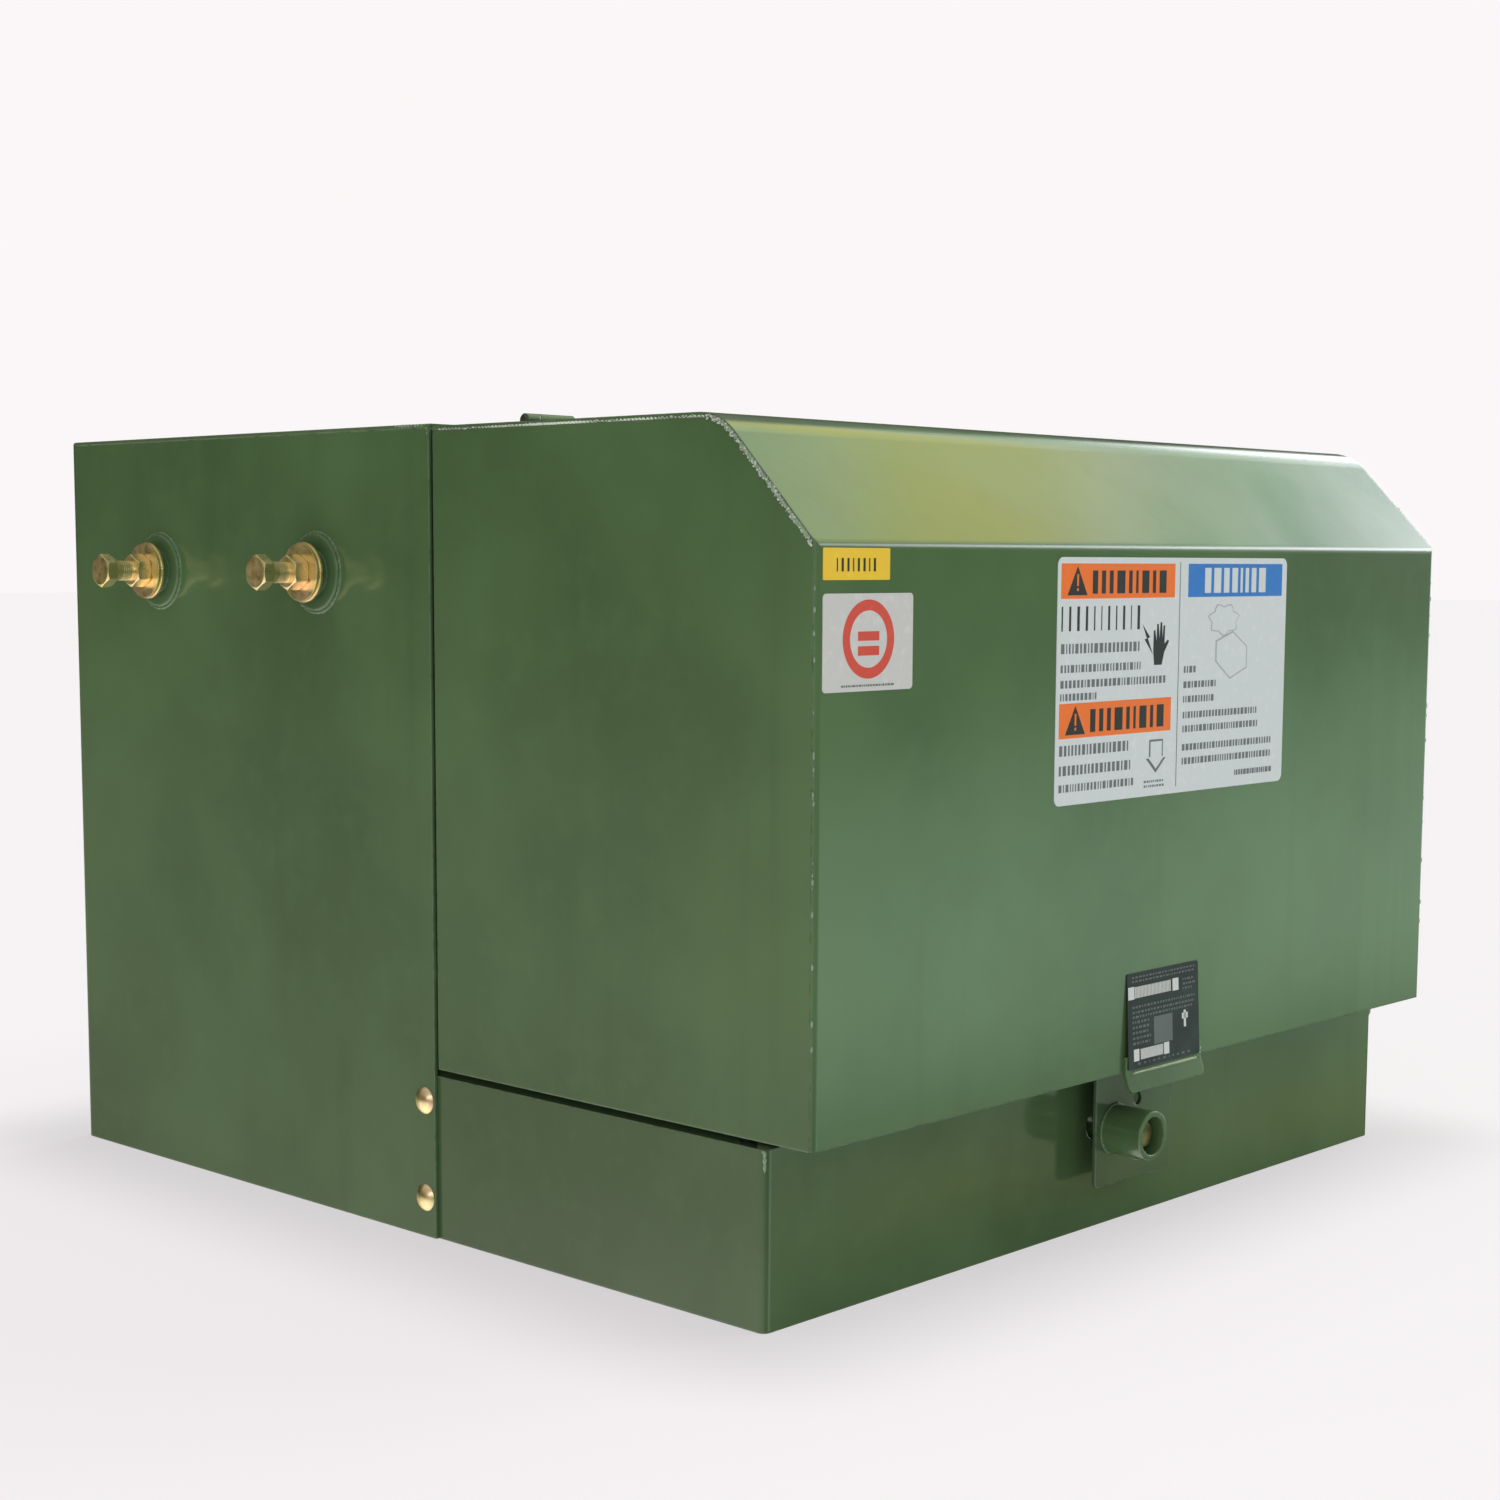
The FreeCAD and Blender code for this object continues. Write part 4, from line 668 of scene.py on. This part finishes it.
inside = (cabinet - [0.2275, 0.1025]) * 0.93 + [x0 + 0.2275, z0 + 0.1025]
drawn("label_cabinet_inside", inside, upper_y, vinyl)


# ---- Number tag and square label --------------------------------------------
# A small yellow tag carries the owner's unit number, shown only as dark ticks.
# Below it a white square label bears a plain red ring in place of the maker's
# sign. Both are vinyl, stuck on by hand.

dress(ink("yellow_vinyl", light(250, 208, 58), 0.36), "unit_number_label")
tag_low, tag_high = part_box("unit_number_label")
ticks = tick_rows(tag_low.x + 0.013, tag_high.x - 0.012, [tag_low.z + 0.0055], 0.0085, 91, 0.0022, 0.0036)
printed("tag_ticks", ticks, (tag_low.y, 0, 0), dark_ink)
dress(ink("grey_white_vinyl", light(214, 214, 212), 0.36), "square_label")
square_low, square_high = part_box("square_label")
square_x, square_z = (square_low.x + square_high.x) / 2, (square_low.z + square_high.z) / 2 + 0.002
red_ink = ink("red_print", light(222, 82, 66), 0.38)


def printed_ring(name, centre, outer, inner, plane_y, finish):
    """A flat ring of print on the hood: a four-sided section from inner to outer radius, carried round."""
    proud = 0.00012
    turn = rounds(64)[:, None]
    reach = np.array([[inner, outer, outer, inner]])
    depth = np.array([[-proud, -proud, proud, proud]])
    x, z = centre[0] + reach * np.cos(turn), centre[1] + reach * np.sin(turn)
    rings = np.stack([x, plane_y + depth + 0 * turn, z], axis=-1)
    skin_mesh(name, rings[::-1], True, "hood", finish).data.shade_flat()


square_plane, half_bar = (square_low.y, 0, 0), 0.0105
printed_ring("square_label_ring", (square_x, square_z), 0.0255, 0.0185, square_low.y, red_ink)
bars = [(square_x - half_bar, square_x + half_bar, square_z - 0.0105, square_z - 0.0045),
        (square_x - half_bar, square_x + half_bar, square_z - 0.001, square_z + 0.005)]
printed("square_label_bars", bars, square_plane, red_ink)
x0, x1, z0 = square_low.x + 0.018, square_high.x - 0.018, square_low.z + 0.0030
ticks = tick_rows(x0, x1, [z0], 0.0013, 92, 0.0030, 0.0008)
printed("square_label_ticks", ticks, square_plane, grey_ink)


# ---- Lock -------------------------------------------------------------------
# The lock plate hangs from the hood front and carries a guard tube welded round
# a captive five-sided bolt. Plate and tube are painted steel; the bolt and its
# retaining ring are silicon bronze, dulled by weather.

# The plate's green is darker than the hood's: painted shade for the plate hanging under the hood front.
plate_shaded_green = enamel("lock_plate_enamel", light(76, 102, 72), dust=0.20, mud=0.12, gloss=0.16)
dress(plate_shaded_green, "lock_plate")
dress(hood_green, "lock_cup")
bronze = bare_metal("silicon_bronze", light(196, 172, 128), 0.40, 90, tint=light(150, 132, 98))
dress(bronze, "lock_bolt", "lock_bolt_ring")
cup_low, cup_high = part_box("lock_cup")
cup_x, cup_z, foot_radius = (cup_low.x + cup_high.x) / 2, (cup_low.z + cup_high.z) / 2, 0.0193
turn = rounds(90)
foot = np.stack([cup_x + foot_radius * np.cos(turn), np.full(90, cup_high.y - 0.0007),
                 cup_z + foot_radius * np.sin(turn)], axis=1)
turn = turn[:, None]
lumpy = 0.0011 * (1 + 0.2 * np.sin(31 * turn + np.cos(rounds(9)[None])) + 0.18 * np.sin(5 * turn))
skin_mesh("weld_lock_cup", round_line(foot, lumpy, 9, (0, 1, 0), True), True, "hood", hood_green)


# ---- High-voltage bushings --------------------------------------------------
# Two epoxy wells are clamped into the front plate and hold rubber-skinned
# load-break inserts, each closed by a pull-off insulating cap while the unit is
# in store.

def moulded(name, colour, rough=0.35, fleck=0.12):
    """Cast epoxy or moulded plastic: even colour with soft clouding, small filler flecks and a faint skin."""
    made, tree, where, shader = finish_of(name, Specular_IOR_Level=0.5)
    clouds = part_of(tree, cloudy(tree, where, 16, 4), 0.35, 0.65)
    tone = over(tree, clouds, deeper(colour, 0.78), colour)
    flecks = part_of(tree, cloudy(tree, where, 420, 2), 0.6, 0.75, 0, fleck)
    tone = over(tree, flecks, tone, light(200, 196, 184))
    skin = grained(tree, cloudy(tree, where, 260, 3), 0.08, 0.0004, eased(tree, 0.0008, 3))
    feed(tree, shader, tone, patchy(tree, where, 34, 3, rough - 0.07, rough + 0.1), skin)
    return made


dress(moulded("well_epoxy", light(112, 62, 48), 0.34), "hv_bushing_wells")
dress(rubber("insert_rubber", 34, 0.45), "hv_bushing_inserts")
cap_rubber = rubber("cap_rubber", 24, 0.5)
dress(cap_rubber, "hv_cap_left", "hv_cap_right")
rim_depth = np.array([0.0002, 0.0020, 0.0045, 0.0070, 0.0088])
rim_radius = np.array([0.0331, 0.0347, 0.0352, 0.0347, 0.0331])[:, None] + np.zeros((1, 48))
for name in ("left", "right"):
    low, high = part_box("hv_cap_" + name)
    x, z = np.full(5, (low.x + high.x) / 2), np.full(5, (low.z + high.z) / 2)
    line = np.stack([x, high.y - rim_depth, z], axis=1)
    rings = round_line(line, rim_radius, 48, (0, 0, 1))
    skin_mesh(f"hv_cap_rim_{name}", rings, False, "hv_cap_" + name, cap_rubber)


# ---- Low-voltage bushings ---------------------------------------------------
# Three moulded bushings pass copper studs through the plate. Tinned four-hole
# spades screw on the studs and are locked by plain nuts, and a tinned copper
# strap bonds the middle one to the tank.

dress(moulded("bushing_epoxy", light(120, 118, 112), 0.36), "lv_bushings")
tinned = bare_metal("tin_plate", light(188, 188, 180), 0.36, 45, tint=light(150, 150, 144))
copper = bare_metal("copper_stud", light(190, 118, 84), 0.34, 60, tint=light(128, 78, 56))
dress(copper, "lv_studs")
dress(tinned, "lv_spades", "lv_jam_nuts", "neutral_strap")
stud_tip, stud_thread, stud_core, stud_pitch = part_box("lv_studs")[0].y + 0.0005, 0.0085, 0.0096, 0.0021
for k, (x, z) in enumerate(((0.105, 0.430), (0.215, 0.345), (0.325, 0.430))):
    screw_thread(f"lv_thread_{k}", (x, stud_tip, z), (0, 1, 0), stud_thread, stud_core, stud_pitch,
                 "tank", copper, 28)


# ---- Bushing clamps ---------------------------------------------------------
# Pressed steel rings and studs with nuts pull every bushing down on its gasket.
# They are plain zinc plated and go matt in the damp compartment.

clear_zinc = bare_metal("clear_zinc", light(164, 168, 168), 0.40, 70, tint=light(128, 132, 134))
dress(clear_zinc, "bushing_clamp_rings", "bushing_clamp_studs_nuts")


# ---- Parking stand ----------------------------------------------------------
# A bent bracket beside the bushings, on which a lineworker parks a cable end
# that has been pulled off. It is welded to the plate and galvanised.

galvanised = bare_metal("galvanised", light(158, 162, 162), 0.46, 36, tint=light(120, 126, 128), depth=0.12)
dress(galvanised, "parking_stand")


# ---- Fuse holder ------------------------------------------------------------
# The bayonet fuse is a glass-reinforced tube set level through the plate, with
# a plug and eye that twist free and draw the fuse link out. A drip tray under
# it catches the oil.

dress(moulded("fuse_tube", light(196, 188, 160), 0.42), "fuse_housing")
dress(moulded("fuse_plug", light(58, 60, 62), 0.38, 0.05), "fuse_holder")
dress(moulded("fuse_link", light(206, 198, 172), 0.36, 0.06), "fuse_cartridge")
dress(moulded("drip_tray", light(214, 214, 206), 0.30, 0.04), "fuse_drip_tray")


# ---- Relief valve and plugs -------------------------------------------------
# A brass valve lets gas out above the oil and has a ring to try it by hand. The
# fill and level holes are closed by steel pipe plugs in welded bosses.

brass = bare_metal("valve_brass", light(196, 164, 96), 0.34, 80, tint=light(150, 122, 68))
dress(brass, "relief_valve_body")
dress(stainless, "relief_valve_pull")
dress(tank_green, "front_plate_bosses")
dress(clear_zinc, "tank_plugs")


# ---- Tap changer ------------------------------------------------------------
# A moulded knob on the plate turns the tap switch under oil. Its dial plate is
# etched with the position numbers 1 to 5, set 30 degrees apart round the knob.

dress(moulded("tap_knob", light(36, 38, 40), 0.34, 0.03), "tap_changer_knob")
dress(ink("dial_plate", light(206, 208, 204), 0.36, 0.5), "tap_dial")
dress(moulded("tap_switch_board", light(150, 112, 66), 0.5), "tap_switch")
dial_low, dial_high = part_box("tap_dial")
dial_x, dial_z = (dial_low.x + dial_high.x) / 2, (dial_low.z + dial_high.z) / 2
dial_radius = min(dial_high.x - dial_low.x, dial_high.z - dial_low.z) / 2
for k in range(5):
    angle = np.radians(150 - 30 * k)
    figure = bpy.data.curves.new(f"dial_number_{k + 1}", "FONT")
    figure.body = str(k + 1)
    figure.size = dial_radius * 0.24
    figure.align_x, figure.align_y = "CENTER", "CENTER"
    figure.extrude = 0.0001
    flat = bpy.data.objects.new("flat_number", figure)
    bpy.context.scene.collection.objects.link(flat)
    mesh = bpy.data.meshes.new_from_object(flat)
    bpy.data.objects.remove(flat)
    at = np.zeros(len(mesh.vertices) * 3)
    mesh.vertices.foreach_get("co", at)
    at = at.reshape(-1, 3)
    out = dial_radius * 0.86
    seat = np.array([dial_x + out * np.cos(angle), dial_low.y, dial_z + out * np.sin(angle)])
    at = np.stack([at[:, 0], -at[:, 2], at[:, 1]], axis=1) + seat
    mesh.vertices.foreach_set("co", at.ravel())
    mesh.name = f"dial_number_{k + 1}"
    number = bpy.data.objects.new(f"dial_number_{k + 1}", mesh)
    bpy.context.scene.collection.objects.link(number)
    number.data.materials.clear()
    number.data.materials.append(dark_ink)
    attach(number, "tank")


# ---- Drain valve and earth pads ---------------------------------------------
# A bronze globe valve low on the plate drains and samples the oil, with a cast
# iron hand wheel. The earth pads are part of the welded bosses beside it.

dress(bronze, "drain_valve_body")
dress(enamel("wheel_enamel", light(118, 38, 30), dust=0.2), "drain_valve_wheel")


# ---- Core and windings ------------------------------------------------------
# Inside, wound loops of silicon steel carry paper-insulated coils, low voltage
# sheet inside and high voltage wire outside, in a bolted steel frame. None of
# it shows unless the tank is opened.

def wound(name, colour, line_colour, pitch, way=(0, 0, 1), metal=0.0, rough=0.5):
    """Layers laid side by side: fine lines one pitch apart across a direction, slightly uneven in tone."""
    made, tree, where, shader = finish_of(name, Metallic=metal)
    bands = add(tree, "Mapping", {"Vector": where, "Scale": way}).outputs[0]
    waves = {"Vector": bands, "Scale": 0.314 / pitch, "Distortion": 0.6, "Detail": 2.0}
    lines = add(tree, "TexWave", waves, bands_direction="DIAGONAL").outputs[1]
    tone = over(tree, part_of(tree, lines, 0.25, 0.6), line_colour, colour)
    stains = part_of(tree, cloudy(tree, where, 22, 4), 0.35, 0.7, 0, 0.35)
    tone = over(tree, stains, tone, deeper(colour, 0.7))
    skin = grained(tree, lines, 0.3, 0.0006)
    feed(tree, shader, tone, patchy(tree, where, 50, 3, rough - 0.08, rough + 0.1), skin)
    return made


dress(wound("core_steel", light(96, 98, 102), light(44, 46, 50), 0.0012, (0, 1, 0), 0.8, 0.4), "core_loops")
dress(wound("sheet_winding", light(184, 150, 100), light(120, 92, 58), 0.0040, rough=0.55), "lv_winding")
dress(wound("wire_winding", light(168, 124, 72), light(96, 62, 34), 0.0024, rough=0.5), "hv_winding")
dress(wound("pressboard", light(190, 160, 112), light(166, 136, 92), 0.0080, rough=0.6), "winding_barrier")
lead_paper = wound("lead_paper", light(196, 170, 124), light(150, 122, 82), 0.0060, (0, 1, 1), rough=0.6)
dress(lead_paper, "winding_leads")
oiled_steel = bare_metal("oiled_steel", light(92, 94, 96), 0.42, 30, tint=light(62, 64, 66))
dress(oiled_steel, "core_frame", "core_tie_bolts")


# ---- Floor, light and camera ------------------------------------------------
# A pale floor that glows evenly, its glow dimmed close to the unit as a painted
# shadow, under overhead light that is bright from the right, with a dim horizon;
# the camera stands off the left front corner at hood height.

half_floor, lines, below = 30, 13, 0.0004
marks = np.linspace(-half_floor, half_floor, lines)
floor_y, floor_x = np.meshgrid(marks, marks, indexing="ij")
grid = np.stack([floor_x, floor_y, np.full_like(floor_x, -below)], axis=-1)
u, v = np.meshgrid(np.arange(lines - 1), np.arange(lines - 1), indexing="ij")
tiles = np.stack([u * lines + v, u * lines + v + 1, (u + 1) * lines + v + 1, (u + 1) * lines + v], axis=-1)
pale_floor, tree, where, shader = finish_of("pale_floor", Roughness=0.9, Specular_IOR_Level=0.0,
                                            Emission_Color=(0.955, 0.910, 0.949, 1))
shade = over(tree, patchy(tree, where, 2.0, 3), (0.300, 0.289, 0.292, 1), (0.306, 0.295, 0.298, 1))
tree.links.new(shade, shader.inputs["Base Color"])
# The glow strength runs from 0.60 at the unit's footprint to 0.77 at 0.17 m away: a painted contact shadow.
footprint_middle, footprint_half = (0, 0.027, 0), (0.400, 0.412, 0)
painted_shadow_distance = where
for step, amount in (("SUBTRACT", footprint_middle), ("ABSOLUTE", None), ("SUBTRACT", footprint_half),
                     ("MAXIMUM", (0, 0, 0)), ("LENGTH", None)):
    sockets = {0: painted_shadow_distance, 1: amount} if amount else {0: painted_shadow_distance}
    moved = add(tree, "VectorMath", sockets, operation=step)
    painted_shadow_distance = moved.outputs["Value" if step == "LENGTH" else "Vector"]
tree.links.new(part_of(tree, painted_shadow_distance, 0.0, 0.17, 0.60, 0.77), shader.inputs["Emission Strength"])
floor = solid("studio_floor", grid, tiles.reshape(-1, 4).tolist(), None, pale_floor)
floor.visible_glossy = False

world = bpy.data.worlds.new("studio")
bpy.context.scene.world = world
world.use_nodes = True
tree = world.node_tree
tree.nodes.clear()
way = add(tree, "TexCoord").outputs["Generated"]
apart = add(tree, "SeparateXYZ", {0: way})
across_room, along_room, height = apart.outputs[0], apart.outputs[1], apart.outputs[2]
share = add(tree, "MapRange", {0: height, 1: -1, 2: 1, 3: 0, 4: 1}).outputs[0]


def stacked(tree, value, levels):
    """Colours stacked by height, each row (place from 0 to 1, red, green, blue), blended evenly between."""
    made = add(tree, "ValToRGB", {0: value})
    stops = made.color_ramp.elements
    for stop, (place, *tint) in zip((stops[0], stops[1]), (levels[0], levels[-1])):
        stop.position, stop.color = place, (*tint, 1)
    for place, *tint in levels[1:-1]:
        stops.new(place).color = (*tint, 1)
    return made.outputs[0]


def scaled(tree, colour, amount):
    """A colour times a value."""
    return add(tree, "VectorMath", {0: colour, 3: amount}, operation="SCALE").outputs[0]


def facing_to(tree, way, aim):
    """How far a direction points along an aim: the sum of their products."""
    return add(tree, "VectorMath", {0: way, 1: aim}, operation="DOT_PRODUCT").outputs["Value"]


tilted = times(tree, share, times(tree, times(tree, 0.8, across_room, "SUBTRACT"), 0.2), "ADD")
right_hand = stacked(tree, tilted, [
    (0.0, 0.12, 0.14, 0.12), (0.360, 0.04, 0.08, 0.05), (0.373, 0.05, 0.12, 0.07), (0.383, 0.60, 0.52, 0.20),
    (0.391, 0.36, 0.38, 0.26), (0.400, 0.34, 0.48, 0.42), (0.408, 1.15, 1.6, 1.33), (0.432, 1.10, 1.52, 1.26),
    (0.450, 0.80, 1.15, 0.90), (0.476, 0.08, 0.12, 0.07), (0.53, 0.03, 0.05, 0.03), (0.64, 0.06, 0.08, 0.07),
    (0.82, 0.26, 0.30, 0.27), (1.0, 0.40, 0.42, 0.40)])
left_hand = stacked(tree, share, [
    (0.0, 1.0, 1.0, 0.90), (0.35, 0.58, 0.56, 0.49), (0.385, 0.34, 0.32, 0.26), (0.41, 0.36, 0.34, 0.27),
    (0.452, 0.26, 0.25, 0.20), (0.485, 0.10, 0.09, 0.05), (0.53, 0.02, 0.02, 0.01), (0.64, 0.10, 0.09, 0.06),
    (0.82, 0.26, 0.26, 0.22), (1.0, 0.40, 0.42, 0.40)])
dimmed = scaled(tree, right_hand, part_of(tree, across_room, 0.66, 0.94, 1.0, 0.66))
raised = scaled(tree, left_hand, part_of(tree, along_room, 0.69, 0.81, 1.7, 1.0))
around = over(tree, part_of(tree, facing_to(tree, way, (0.72, -0.68, 0.0)), -0.5, 0.5), raised, dimmed)
aimed = part_of(tree, facing_to(tree, way, (0.86, -0.02, 0.51)), 0.70, 0.96, 0.0, 1.84)
lamp = times(tree, aimed, part_of(tree, along_room, 0.28, 0.44, 1.0, 0.0))
panes = stacked(tree, height, [
    (0.26, 0.8, 0.85, 0.85), (0.34, 3.7, 3.8, 3.9), (0.42, 3.3, 3.4, 3.5), (0.475, 0.76, 0.88, 0.91),
    (0.505, 0.30, 0.50, 0.38), (0.55, 0.32, 0.54, 0.34), (0.572, 1.00, 1.00, 0.95), (0.592, 1.00, 0.82, 0.08),
    (0.64, 1.00, 0.88, 0.14), (0.66, 0.80, 1.05, 0.62), (0.74, 0.40, 0.50, 0.36), (1.0, 0.2, 0.24, 0.2)])
total = add(tree, "VectorMath", {0: around, 1: scaled(tree, panes, lamp)}, operation="ADD").outputs[0]
lit = add(tree, "Background", {0: total, 1: 1.0})
plain = add(tree, "Background", {0: light(251, 247, 248), 1: 1.0})
seen = add(tree, "LightPath").outputs["Is Camera Ray"]
both = add(tree, "MixShader", {0: seen, 1: lit.outputs[0], 2: plain.outputs[0]})
tree.links.new(both.outputs[0], add(tree, "OutputWorld").inputs[0])

lamp_data = bpy.data.lights.new("softbox", "AREA")
lamp_data.shape = "RECTANGLE"
lamp_data.size, lamp_data.size_y = 2.4, 1.6
lamp_data.energy = 20
softbox = bpy.data.objects.new("softbox", lamp_data)
softbox.location = (-3.5, -1.9, 1.5)
softbox.rotation_mode = "QUATERNION"
softbox.rotation_quaternion = (-Vector((-3.5, -1.9, 1.2))).to_track_quat("-Z", "Y")
bpy.context.scene.collection.objects.link(softbox)

yaw, pitch, roll = np.radians([46.7952, 6.2999, 0.2513])
ahead = np.array([np.sin(yaw) * np.cos(pitch), np.cos(yaw) * np.cos(pitch), -np.sin(pitch)])
level = np.array([np.cos(yaw), -np.sin(yaw), 0.0])
upward = np.cross(level, ahead)
across = level * np.cos(roll) + upward * np.sin(roll)
upright = upward * np.cos(roll) - level * np.sin(roll)
view_wide, sensor_wide = 1500, 36
view_data = bpy.data.cameras.new("camera")
view_data.sensor_width = sensor_wide
view_data.lens = 2447.30 / view_wide * sensor_wide
view_data.shift_x = (view_wide / 2 - 751.11) / view_wide
view_data.shift_y = (829.82 - view_wide / 2) / view_wide
view_data.clip_end = 200
camera = bpy.data.objects.new("camera", view_data)
turned = np.eye(4)
turned[:3, 0], turned[:3, 1], turned[:3, 2] = across, upright, -ahead
turned[:3, 3] = (-1.557237, -1.459147, 0.512180)
camera.matrix_world = Matrix(turned.tolist())
bpy.context.scene.collection.objects.link(camera)
bpy.context.scene.camera = camera
bpy.context.scene.view_settings.view_transform = "Standard"
